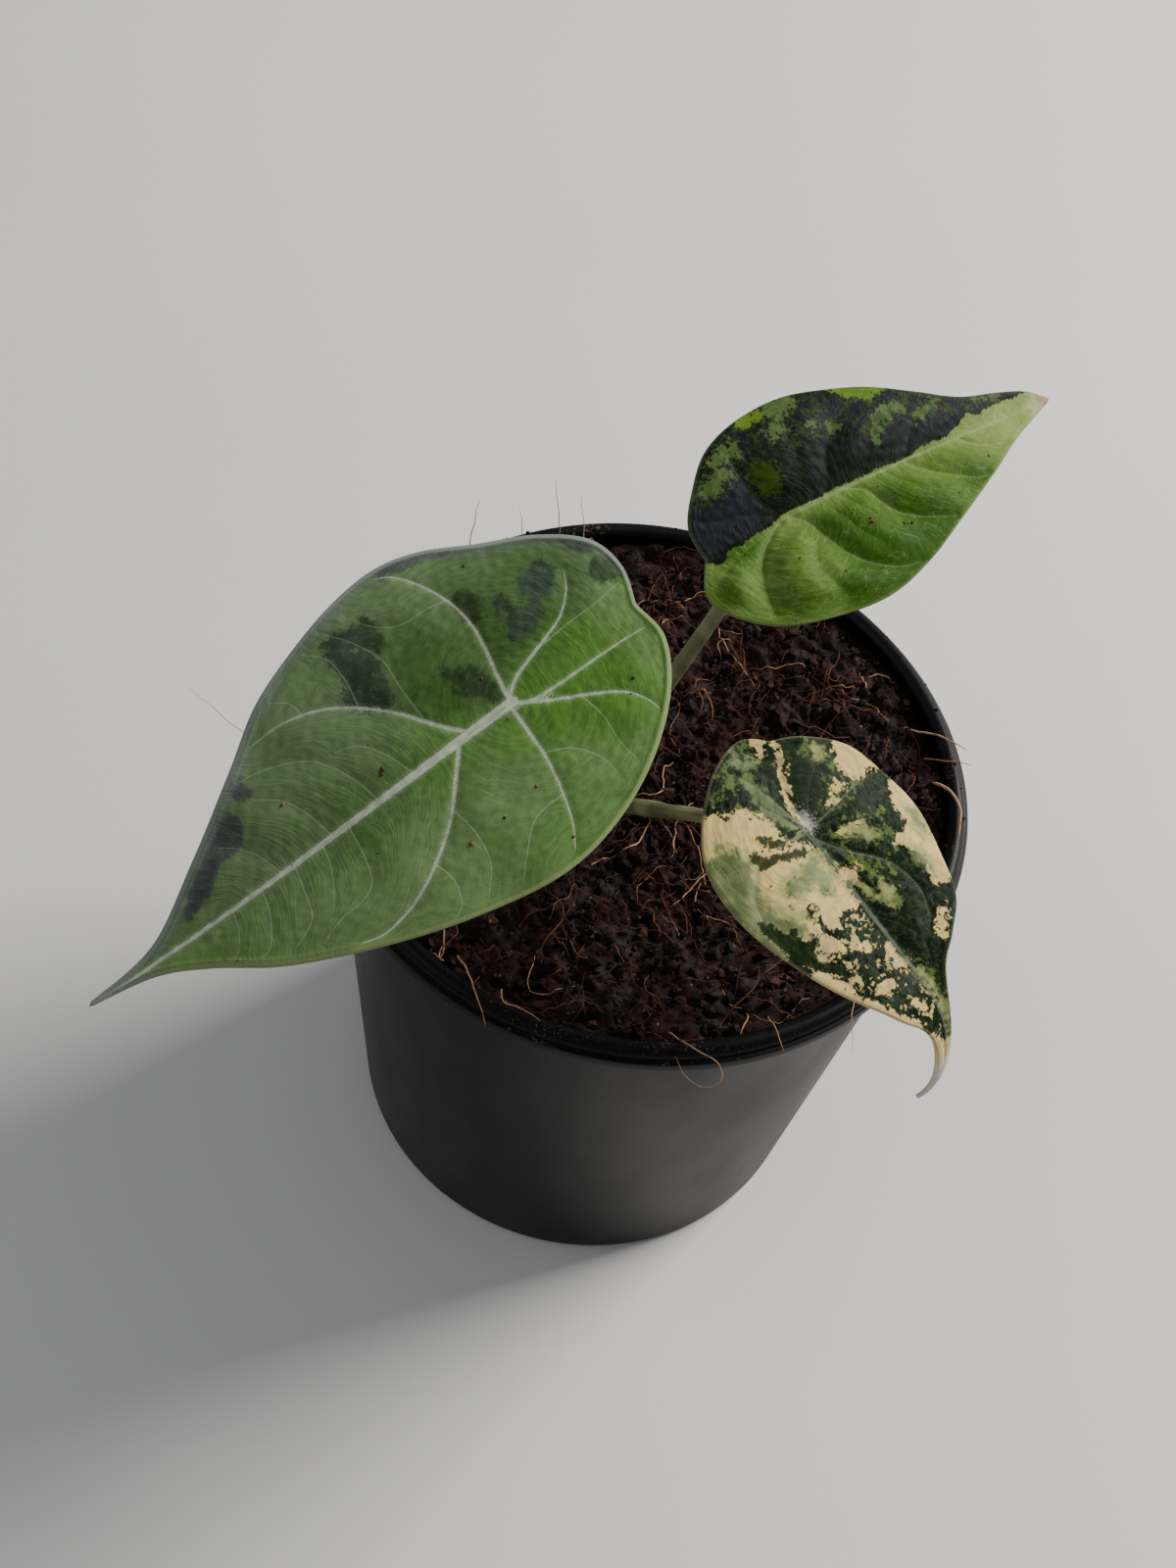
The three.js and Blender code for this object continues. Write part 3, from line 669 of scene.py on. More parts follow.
def set_in_place(leaf, points):
    """Banks, dips and heads a leaf's own points, then moves them to the leaf's joint."""
    bank, dip, heading = np.radians([leaf["bank"], leaf["dip"], leaf["heading"]])
    turn = Matrix.Rotation(heading, 3, "Z") @ Matrix.Rotation(dip, 3, "Y") @ Matrix.Rotation(bank, 3, "X")
    return points @ np.array(turn).T + leaf["place"] + np.array([0, 0, SOIL_LEVEL])


def stalk_path(leaf, shares):
    """Cubic curve from inside the stem to the blade's joint, bowed at its two inner points."""
    low_at, high_at = STALK_BENDS_AT
    end = set_in_place(leaf, np.array([0, 0, -BLADE_THICKNESS - 0.6 * RIB_KEEL]))
    root = STEM_PLACE + (0, 0, STALK_ROOT_HEIGHT)
    bow = np.array(leaf["stalk_bow"])
    low = root + (end - root) * low_at + bow
    high = root + (end - root) * high_at + bow / 2
    s = shares[:, None]
    return (1 - s) ** 3 * root + 3 * s * (1 - s) ** 2 * low + 3 * s ** 2 * (1 - s) * high + s ** 3 * end


def bell(distance, reach):
    """1 at no distance, fading as a bell curve, to about a third at the reach."""
    return np.exp(-(distance / reach) ** 2)


def stalk(leaf, seed):
    """Rod along the stalk's curve. It slims from the root, flares at the sheath and under the
    blade, is a little flat above and has faint ribs along it."""
    share = np.linspace(0, 1, STALK_STEPS)
    path = stalk_path(leaf, share)
    ahead = unit(np.gradient(path, axis=0))
    aside = unit(np.cross((0, 0, 1), ahead))
    above = np.cross(ahead, aside)
    root_radius, end_radius = leaf["stalk_radius"]
    radius = root_radius + (end_radius - root_radius) * (1 - (1 - share) ** STALK_SLIMMING)
    radius = radius * (1 + STALK_SHEATH * bell(share, 0.12) + STALK_FLARE * bell(1 - share, 0.07))
    turn = full_turn(STALK_SIDES)
    flat = 1 - STALK_FLATTENING * bell(turn - np.pi / 2, 0.45)
    ribs = 1 + 0.012 * np.sin(9 * turn + seed) + 0.008 * np.sin(15 * turn + 2 * seed)
    out = radius[:, None] * flat * ribs
    points = path[:, None] + out[..., None] * (
        np.cos(turn)[:, None] * aside[:, None] + np.sin(turn)[:, None] * above[:, None])
    points += 0.05 * ripples(points, 5, seed)[..., None]
    ends = path[[0, -1], None] + 0 * points[:2]
    points = np.concatenate([ends[:1], points, ends[1:]])
    return points, grid_faces(len(points), STALK_SIDES, wrap=True)[:, ::-1], np.r_[0, share, 1]


stump_rise = np.linspace(STUMP_FOOT, STEM_TOP, STUMP_STEPS)
stump_radius = np.interp(
    stump_rise, (STUMP_FOOT, -3.9, 1, 4, 6.5, 7.4, STEM_TOP),
    (0, STEM_RADIUS, STEM_RADIUS, STEM_NECK_RADIUS, STEM_NECK_RADIUS * 0.9, STEM_NECK_RADIUS * 0.6, 0))
rise, turn = stump_rise[:, None], full_turn(STUMP_SIDES)
scars = 1 + 0.035 * np.sin(3.1 * rise + 1.3 * np.sin(1.7 * rise) + 0.9 * np.sin(turn)) * (rise < 6)
scarred = stump_radius[:, None] * scars
stump = np.stack([scarred * np.cos(turn), scarred * np.sin(turn), rise + 0 * turn], -1)
stump += 0.24 * ripples(stump, 2.8, 21)[..., None] * np.array([1, 1, 0.2])
stump += STEM_PLACE
shells = [(stump, grid_faces(STUMP_STEPS, STUMP_SIDES, wrap=True)[:, ::-1])]
age = [np.repeat(np.interp(stump_rise, (STUMP_FOOT, 5, STEM_TOP), (1, 0.85, 0.5)), STUMP_SIDES)]
for seed, leaf in enumerate((LARGE, UPPER, VARIEGATED)):
    points, faces, share = stalk(leaf, seed + 31)
    shells.append((points, faces))
    age.append(np.repeat(np.interp(share, (0, 0.1, 0.22), (0.7, 0.3, 0)), STALK_SIDES))

stalk_finish, shader = new_finish("stalk_skin", IOR=1.42)
mottle = noise(own_place(shader), 240, 6)
flecks = wire("TexVoronoi", {"Vector": own_place(shader), "Scale": 1500}, "Distance")
olive = blend(ramp(mottle, 0.35, 0.68), "#5f5f3c", "#83805a")
olive = blend(ramp(flecks, 0.22, 0.1, 0, 0.35), olive, "#4a4630")
husk = blend(ramp(mottle, 0.4, 0.6), "#3a2a1c", "#77603f")
feed(shader, {
    "Base Color": blend(own_measure(shader, "age"), olive, husk),
    "Roughness": ramp(mottle, 0.3, 0.7, 0.5, 0.68), "Normal": bump(mottle, 0.6, 0.00018)})
stems = mesh_piece("stem_and_stalks", *joined(shells), stalk_finish)
measure(stems, "age", np.concatenate(age))
weld(stems)
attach(stems, "root")
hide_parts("stems")


# Large blade
# The oldest leaf: leathery, bright green towards the viewer and grey-green beyond, the far half darkened
# partly by painted shade and greyed partly by a painted sheen, with a pale frosted midrib, thin pale side
# veins in shallow grooves, a thick pale margin and dark patches.
VEIN_FADE = 0.5
CURVE_STEPS = 5
FAR_OFF = 30.0
OUTLINE_REACH = 6.0
MIDRIB_CALM = 3.2
MARGIN_CALM = 3.5
MIDRIB_WIDTH = (0.2, 0.58)
MIDRIB_RISE = 0.3
SLIT_DEPTH = 0.2
SLIT_WIDTH = 0.25
SLIT_LENGTH = 14
ROLL_PLACE = 0.55
ROLL_WIDTH = 0.35
SWAY_SIZE = 17
DENT_SIZE = 1.9
DENT_DEPTH = 0.05
ROW_SWEEP = 1.8
SKIN_THICKNESS = 0.62
MARGIN_THICKENING = 0.18
MARGIN_WIDTH = 1.5
LOWER_RELIEF = 0.3
MARGIN_STEPS = 7
MARGIN_BULGE = 0.8
SLOPE_STEP = 0.05
# Half width of each rank of vein where it starts and where it ends, and its depth
VEIN_RANKS = {"strong": (0.3, 0.07, 1), "fine": (0.09, 0.04, 0.4)}


def smooth_line(points, shares):
    """Uniform Catmull-Rom curve through the points, with its end points doubled."""
    points = np.array(points, float)
    spans = len(points) - 1
    at = np.clip((shares * spans).astype(int), 0, spans - 1)
    s = (shares * spans - at)[:, None]
    p0, p1 = points[np.maximum(at - 1, 0)], points[at]
    p2, p3 = points[at + 1], points[np.minimum(at + 2, spans)]
    v0, v1 = (p2 - p0) / 2, (p3 - p1) / 2
    return (2 * p1 - 2 * p2 + v0 + v1) * s ** 3 + (3 * p2 - 3 * p1 - 2 * v0 - v1) * s ** 2 + v0 * s + p1


def along_midrib(leaf, x):
    """Reach, height and fall in radians of the midrib at each flat x: arcs joined end to end
    ahead of the joint, and one arc behind it."""
    back = np.radians(leaf["back_bend"])
    fall = back * np.minimum(x, 0)
    reach, height = np.sin(fall) / back, (np.cos(fall) - 1) / back
    start = 0
    for number, (length, turn) in enumerate(leaf["bends"], 1):
        limit = np.inf if number == len(leaf["bends"]) else length
        step = np.clip(x - start, 0, limit)
        bend = np.radians(turn) / length
        after = fall + bend * step
        if bend:
            reach = reach + (np.sin(after) - np.sin(fall)) / bend
            height = height + (np.cos(after) - np.cos(fall)) / bend
        else:
            reach = reach + step * np.cos(fall)
            height = height - step * np.sin(fall)
        fall = after
        start += length
    return reach, height, fall


def blade_point(leaf, x, y):
    """Point of the upper face over a flat place: the midrib's point, raised square to it by a
    soft valley along the midrib less an arch down to the margin."""
    reach, height, fall = along_midrib(leaf, x)
    rise = leaf["fold"] * (np.hypot(y, RIB_VALLEY) - RIB_VALLEY) - y ** 2 / (2 * leaf["arch"])
    return np.stack([reach + rise * np.sin(fall), y, height + rise * np.cos(fall)], -1)


def axis_side(leaf, x):
    """The blade's axis leans to the notch behind the joint, and to the tip at the tail."""
    (notch_x, notch_y), (tip_x, tip_y) = leaf["notch"], leaf["tip"]
    return np.where(x < 0, notch_y * (x / notch_x) ** 2, tip_y * (x / tip_x) ** 4)


def off_line(flat, line):
    """Distance from each flat place to a line of straight steps, the share of the line's steps
    that are passed at its nearest point, and 1 or -1 for the side of the line."""
    start, step = line[:-1], np.diff(line, axis=0)
    to = flat[:, None] - start
    share = np.clip((to * step).sum(-1) / (step ** 2).sum(-1), 0, 1)
    gap = np.linalg.norm(to - share[..., None] * step, axis=-1)
    nearest = gap.argmin(1)
    row = np.arange(len(flat))
    turn = step[nearest, 0] * to[row, nearest, 1] - step[nearest, 1] * to[row, nearest, 0]
    return gap[row, nearest], (nearest + share[row, nearest]) / len(step), np.where(turn < 0, -1, 1)


def inside(flat, outlines):
    """Distance in from the nearest edge of the smooth closed outlines. It is below 0 outside
    them, down to their reach and no further."""
    depth = np.full(len(flat), -OUTLINE_REACH)
    for outline in outlines:
        points = np.array(outline, float)
        low, high = points.min(0) - OUTLINE_REACH, points.max(0) + OUTLINE_REACH
        near = ((flat > low) & (flat < high)).all(1)
        line = smooth_line(np.vstack([points, points[:1]]), np.linspace(0, 1, CURVE_STEPS * len(points) + 1))
        gap = off_line(flat[near], line)[0]
        (x0, y0), (x1, y1) = line[:-1].T, line[1:].T
        x, y = flat[near, :1], flat[near, 1:]
        spans = (y0 > y) != (y1 > y)
        over = x < x0 + (y - y0) * (x1 - x0) / np.where(y1 == y0, 1, y1 - y0)
        odd = (spans & over).sum(1) % 2 == 1
        depth[near] = np.maximum(depth[near], np.where(odd, gap, -gap))
    return depth


def near_spots(flat, spots):
    """Sum of soft round spots of place, size and strength, each fading as a bell curve."""
    return sum(
        strength * np.exp(-((flat[:, 0] - x) ** 2 + (flat[:, 1] - y) ** 2) / size ** 2)
        for x, y, size, strength in spots)


def vein_fields(leaf, flat, margin_gap):
    """Fields over the flat blade. Strong and fine are the gap to the nearest vein of each rank
    over its half width, below 0 on one side of it, and strong_gap and fine_gap are the gap, with
    a little added toward the vein's end, so that it fades out. Rib and slit are millimetres off
    the edge of the midrib and of its groove. Phase grows in rings round the joint and, along the
    tail, from one side vein to the next. Bearing is the direction from the joint, drawn out along
    it. The rise puffs up between the veins and sinks on them."""
    x, y = flat.T
    away = np.hypot(x, y)
    gaps = {rank: np.full(len(flat), FAR_OFF) for rank in VEIN_RANKS}
    sides = dict(gaps)
    quilt, sink, weights, stations = 1, 0, 1e-9, 0
    for rank, (width, end_width, depth) in VEIN_RANKS.items():
        for points in leaf["veins"][rank]:
            line = smooth_line(points, np.linspace(0, 1, CURVE_STEPS * len(points)))
            gap, share, side = off_line(flat, line)
            half = leaf["vein_width"] * (width + (end_width - width) * share)
            faded = gap + VEIN_FADE * share ** 3
            sides[rank] = np.where(faded < gaps[rank], side * np.minimum(gap / half, 20), sides[rank])
            gaps[rank] = np.minimum(gaps[rank], faded)
            quilt = quilt * (1 - depth * bell(gap, 1.4 + 1.8 * depth))
            sink = np.maximum(sink, depth * bell(gap, width + 0.4))
            if points[0][0] > 5 and abs(points[0][1]) < 1:
                weight = np.exp(-gap / 4) / (gap + 0.05)
                weights, stations = weights + weight, stations + weight * points[0][0]
    beside = abs(y - axis_side(leaf, x))
    tail = np.clip(1 - x / leaf["tip"][0], 0, 1)
    half = leaf["vein_width"] * (MIDRIB_WIDTH[0] + MIDRIB_WIDTH[1] * tail ** 1.5) * (x > -1.5)
    quilt = quilt * (1 - bell(beside, MIDRIB_CALM)) * (1 - bell(margin_gap, MARGIN_CALM))
    band = np.clip(1 - (beside / (half + 0.3)) ** 2, 0, 1) * np.clip((x + 3) / 4, 0, 1)
    slit = SLIT_DEPTH * bell(beside, SLIT_WIDTH) * bell(x, SLIT_LENGTH) * (x > 0)
    puff, groove = np.where(y > 0, *leaf["puff"]), np.where(y > 0, *leaf["groove"])
    ahead = np.clip((x - 6) / 16, 0, 1)
    return {
        "rise": puff * quilt - groove * sink + MIDRIB_RISE * band * tail - slit,
        "strong": sides["strong"], "strong_gap": gaps["strong"],
        "fine": sides["fine"], "fine_gap": gaps["fine"],
        "rib": np.where(x > -1, beside - half, away - 0.9 * leaf["vein_width"]),
        "slit": beside - 0.14 + 0.012 * np.clip(x, 0, 30) + 3 * (x < 0.5),
        "phase": away * (1 - ahead) + (0.8 * stations / weights + 0.2 * x + 2) * ahead,
        "bearing": np.stack([8 * x / (away + 1), 8 * y / (away + 1), 0.4 * away], -1)}


def margins(leaf, rows):
    """The two halves of the outline, both from the notch to the tip."""
    share = np.linspace(0, 1, rows)
    return [smooth_line([leaf["notch"], *leaf[side], leaf["tip"]], share) for side in ("left", "right")]


def upper_face(leaf, flat):
    """Points of the upper face with its relief, the way square to it, the ways along and across
    it, the height of the relief and the fields. The relief adds to the veins' own a rolled
    margin, a slow sway and small dents."""
    left, right = margins(leaf, 240)
    margin_gap = off_line(flat, np.vstack([left, right[::-1]]))[0]
    fields = vein_fields(leaf, flat, margin_gap)
    x, y = flat.T
    rise = fields.pop("rise") + leaf["roll"] * bell(margin_gap - ROLL_PLACE, ROLL_WIDTH)
    rise += leaf["sway"] * ripples(flat, SWAY_SIZE, leaf["seed"]) * (1 - bell(y, 6))
    dents = DENT_DEPTH * ripples(flat, DENT_SIZE, leaf["seed"] + 1)
    rise += dents * (1 - bell(margin_gap, MARGIN_WIDTH))
    step = SLOPE_STEP
    along = (blade_point(leaf, x + step, y) - blade_point(leaf, x - step, y)) / (2 * step)
    across = (blade_point(leaf, x, y + step) - blade_point(leaf, x, y - step)) / (2 * step)
    square = unit(np.cross(along, across))
    points = blade_point(leaf, x, y) + rise[:, None] * square
    return points, square, along, across, rise, fields | {"margin": margin_gap}


def blade(name, leaf, rows, columns, finish):
    """Both halves of a blade, each a sleeve that runs from the axis over the upper face, round
    the margin and back along the lower face. The lower face repeats the relief, softer."""
    shells, kept = [], {}
    share = np.linspace(0, 1, rows)
    for side, outline in zip((1, -1), margins(leaf, rows)):
        axis_x = leaf["notch"][0] + (leaf["tip"][0] - leaf["notch"][0]) * share ** ROW_SWEEP
        axis = np.stack([axis_x, axis_side(leaf, axis_x)], -1)
        out = np.linspace(0, 1, columns)[:, None]
        out = out + 0.06 * np.sin(2 * np.pi * out)
        flat = (axis[:, None] * (1 - out) + outline[:, None] * out).reshape(-1, 2)
        upper, square, along, across, rise, fields = upper_face(leaf, flat)
        margin_gap = fields["margin"]
        x, y = flat.T
        beside = y - axis_side(leaf, x)
        reach = np.where(x < 0, x / leaf["notch"][0], x / leaf["tip"][0])
        keel = RIB_KEEL * np.clip(1 - reach ** 2, 0, 1) * bell(beside, RIB_KEEL_WIDTH)
        thick = SKIN_THICKNESS + MARGIN_THICKENING * bell(margin_gap, MARGIN_WIDTH) + keel
        lower = upper - (thick + LOWER_RELIEF * rise)[:, None] * square
        upper, lower = upper.reshape(rows, columns, 3), lower.reshape(rows, columns, 3)
        slope = np.gradient(outline, axis=0)
        away = np.stack([-slope[:, 1], slope[:, 0]], -1) * side
        away[0], away[-1] = (-1, 0), (1, 0)
        away = unit(away)
        last = np.arange(rows) * columns + columns - 1
        away = away[:, :1] * along[last] + away[:, 1:] * across[last]
        turn = np.linspace(0, np.pi, MARGIN_STEPS)[1:-1, None]
        centre, half = (upper[:, -1] + lower[:, -1]) / 2, (upper[:, -1] - lower[:, -1]) / 2
        length = np.linalg.norm(half, axis=1, keepdims=True)
        bulge = MARGIN_BULGE * (away * length)[:, None]
        rim = centre[:, None] + half[:, None] * np.cos(turn) + bulge * np.sin(turn)
        sleeve = np.concatenate([upper, rim, lower[:, ::-1]], 1)
        faces = grid_faces(rows, sleeve.shape[1])
        shells.append((set_in_place(leaf, sleeve), faces if side == 1 else faces[:, ::-1]))
        folded = np.r_[0:columns, [columns - 1] * len(turn), columns - 1:-1:-1]
        low = np.r_[np.zeros(columns), np.linspace(0, 1, len(turn) + 2)[1:-1], np.ones(columns)]
        fields |= {key: field(flat) for key, field in leaf["fields"].items()}
        fields["flat"] = np.hstack([flat, 0 * flat[:, :1]])
        for key, values in fields.items():
            sheet = values.reshape(rows, columns, -1)[:, folded]
            kept.setdefault(key, []).append(sheet.reshape(-1, sheet.shape[-1]))
        kept.setdefault("under", []).append(np.tile(low, rows)[:, None])
    piece = mesh_piece(name, *joined(shells), finish)
    for key, values in kept.items():
        values = np.vstack(values)
        measure(piece, key, values if values.shape[1] == 3 else values[:, 0])
    weld(piece)
    return piece


# Ragged patch: where a field, in millimetres in from an edge and shifted by noise, is above 0.
# Half of the noise is even, and half is drawn out along the directions from the joint.
patch_group, given, leave = new_group(
    "ragged_patch",
    {"Flat": None, "Bearing": None, "Field": 0.0, "Rag": 0.5, "Grain": 1.0, "Soft": 0.1},
    {"Mask": "Float"})
even = noise(given["Flat"], given["Grain"], 5, Roughness=0.7)
drawn = noise(given["Bearing"], given["Grain"], 4, Roughness=0.65)
shifted = (even + drawn - 1.0) * given["Rag"] * 3.0 + given["Field"]
feed(leave, {"Mask": ramp(shifted, given["Soft"] * -1.0, given["Soft"])})

# Leaf skin: fine ribs and hair-thin lines along the lines of equal phase, pores and slow mottling
skin_group, given, leave = new_group(
    "leaf_skin", {"Flat": None, "Phase": 0.0}, {"Height": "Float", "Net": "Float", "Mottle": "Float"})
phase = given["Phase"] + noise(given["Flat"], 0.35, 3) * 1.6


def drawn_out(flat, share, phase, rate):
    """The flat place times the share, with the phase times the rate as its height."""
    short = wire("VectorMath", {0: flat, 3: share}, operation="SCALE")
    lift = wire("CombineXYZ", {2: phase * rate})
    return wire("VectorMath", {0: short, 1: lift}, operation="ADD")


ribs = noise(drawn_out(given["Flat"], 0.22, phase, 1.9), 1.0, 2)
pores = noise(given["Flat"], 2.6, 3)
hairs = abs(noise(drawn_out(given["Flat"], 0.28, phase, 0.8), 1.0, 1) - 0.5)
feed(leave, {
    "Height": ramp(ribs, 0.32, 0.68) + pores * 0.8,
    "Net": ramp(hairs, 0.03, 0.005) * ramp(pores, 0.35, 0.55),
    "Mottle": noise(given["Flat"], 0.16, 6, Roughness=0.62)})


def leaf_finish(name, base, layers, vein, veil, net, margin, under, gloss, specks, wax):
    """A blade's finish. Base and layers have two tints that the slow mottling mixes. The layers,
    each of measure, tints, rag, grain, softness and strength, are painted in turn over the base.
    Then come the hair lines, the veins with their frosted feather, which the veil's layer hides
    by a share, the margin, the specks and the paler lower face. Wax is the specular level."""
    finish, shader = new_finish(name, IOR=1.4, Specular_IOR_Level=wax)
    of = {key: own_measure(shader, key) for key in (
        "strong", "strong_gap", "fine", "fine_gap", "rib", "slit", "phase", "margin", "under")}
    flat, bearing = own_measure(shader, "flat", "Vector"), own_measure(shader, "bearing", "Vector")
    relief = wire("Group", {"Flat": flat, "Phase": of["phase"]}, "Height", node_tree=skin_group)
    slow = relief.beside("Mottle")
    mottle = ramp(slow, 0.35, 0.65)
    colour = blend(mottle, *base)
    for key, first, second, rag, grain, soft, strength in layers:
        feeds = {"Flat": flat, "Bearing": bearing, "Field": own_measure(shader, key), "Rag": rag,
                 "Grain": grain, "Soft": soft}
        mask = wire("Group", feeds, "Mask", node_tree=patch_group)
        colour = blend(mask * strength, colour, blend(mottle, first, second))
        if key == veil[0]:
            seen = 1.0 - mask * veil[1]
    # Painted shade and light on the fine relief: the colour is darker where the ribs and pores are low and
    # lighter where they are high.
    colour = wire("VectorMath", {0: colour, 3: ramp(relief, 0.4, 1.4, 0.9, 1.08)}, operation="SCALE")
    colour = blend(relief.beside("Net") * net[1] * seen, colour, net[0])
    frost = (noise(flat, 3.6, 4) - 0.5) * 0.5
    off_vein = reckon("MINIMUM", of["strong_gap"] - 0.2, of["rib"])
    feather = ramp(off_vein + frost * 3.0, 0.75, -0.3, 0, vein[3])
    faint = ramp(abs(of["fine"]) + frost * 2.0, 2.0, 0.4, 0, vein[2]) * ramp(of["fine_gap"], 0.8, 0.5)
    bold = ramp(abs(of["strong"]) + frost * 4.0, 1.5, 0.6, 0, 0.75) * ramp(of["strong_gap"], 0.8, 0.5)
    midrib = ramp(of["rib"] + frost, 0.12, -0.12)
    groove = ramp(of["slit"] + frost, 0.08, -0.08, 0, 0.5)
    threads = noise(wire("Mapping", {"Vector": flat, "Scale": (0.3, 4, 1)}), 1.0, 3)
    bold = reckon("MAXIMUM", bold, midrib) * (vein[1] - groove) * ramp(threads, 0.35, 0.6, 0.5, 1)
    for strength in (feather, faint, bold):
        colour = blend(strength * seen, colour, vein[0])
    rim = blend(ramp(wire("SeparateXYZ", {0: flat}, 1), 1.5, -1.5), *margin[:2])
    edge = ramp(of["margin"] + frost, margin[2], margin[2] - 0.4, 0, margin[3])
    colour = blend(edge, colour, rim)
    dots = wire("TexVoronoi", {"Vector": flat, "Scale": 0.42}, "Color")
    chosen = ramp(wire("SeparateColor", {0: dots}, 1), 0.8, 0.81)
    colour = blend(chosen * ramp(dots.beside("Distance"), 0.1, 0.06) * 0.75, colour, specks)
    colour = blend(of["under"], colour, blend(0.55, colour, under))
    calm = ramp(off_vein, -0.1, 0.6, 0.2, 1)
    feed(shader, {
        "Base Color": colour, "Roughness": ramp(slow, 0.3, 0.7, gloss[0], gloss[1]) + bold * 0.15,
        "Normal": bump(relief * calm, gloss[2], 0.00012)})
    return finish


LARGE["veins"] = {
    "strong": [
        ((0, 0), (-3, 1.6), (-10, 2.1), (-18, 2.3), (-24.5, 2.8)),
        ((-0.5, 0.3), (-5, 3.2), (-10, 6), (-14.5, 9), (-16.5, 12), (-17, 14.2)),
        ((0, -0.5), (-3, -2.5), (-8, -4), (-14, -5.8), (-17.5, -8.5), (-19, -11)),
        ((0.3, 0), (1, 5), (1.8, 10), (3.3, 15.5), (5, 20), (7.3, 23.3)),
        ((0, -0.6), (-1, -6), (-1.8, -11), (-1.5, -16), (0.3, -21), (3, -25), (5.5, -26.5)),
        ((10.3, 0.4), (14, 4), (18.5, 8.3), (24, 12), (30, 14.8), (36, 15.8), (40, 14.8)),
        ((8.3, -0.6), (11.5, -4), (15.5, -9), (20.5, -13.5), (25, -16), (30, -17.3), (35, -17.3)),
    ],
    "fine": [
        ((-8, -4), (-14, -4.4), (-20, -4.5), (-25.5, -4.9)),
        ((30.8, 0.3), (31.5, 4), (33, 8.3), (35.5, 10), (40, 10.3), (44, 11.5)),
        ((40.5, 0.3), (41.5, 3.5), (43, 7.5), (46, 9), (47.5, 9.5)),
        ((46.3, 0.2), (47.5, 3.5), (50, 7), (52, 7.6)),
        ((35.5, 0.3), (36.3, 3), (38, 6), (40, 8.5)),
        ((51.5, 0.2), (52.5, 2.8), (54.5, 5.2)),
        ((25, -0.4), (26, -4.5), (28.3, -9), (31, -11.5), (36, -13.6), (40, -14.3)),
        ((33.5, -0.4), (34.5, -5), (36.3, -8.5), (40, -11.5)),
        ((42.5, -0.4), (43.5, -4), (45.5, -7), (48, -9)),
        ((18.5, -0.4), (20, -4.5), (22.5, -8), (26, -9.5)),
        ((17.6, 7.6), (17.2, 12), (18.2, 17), (22, 21.3)),
        ((24.5, 12.4), (24, 16), (25.5, 19.5), (28, 20.3)),
        ((3.3, 15.5), (9, 16), (13.5, 19.5), (16.5, 22.6)),
        ((-9, 5.6), (-9.3, 10), (-8.7, 14.5), (-9.2, 18.6)),
        ((1.6, 9), (-2.2, 11), (-4.8, 14.5), (-5.4, 18.5)),
        ((-1.3, -17.5), (2, -18.2), (7, -18.6), (10.5, -21), (13, -25)),
        ((12.4, -5.5), (12.6, -11), (12.3, -16), (14.5, -21), (17.5, -24.8)),
        ((19.2, -12.5), (18.4, -17), (18.8, -21), (21.5, -24)),
        ((26.5, -16.6), (27, -19), (29.5, -21)),
    ]}
LARGE.update(puff=(0.4, 0.55), groove=(0.16, 0.16), vein_width=1, roll=0.2, sway=0.2, seed=41)
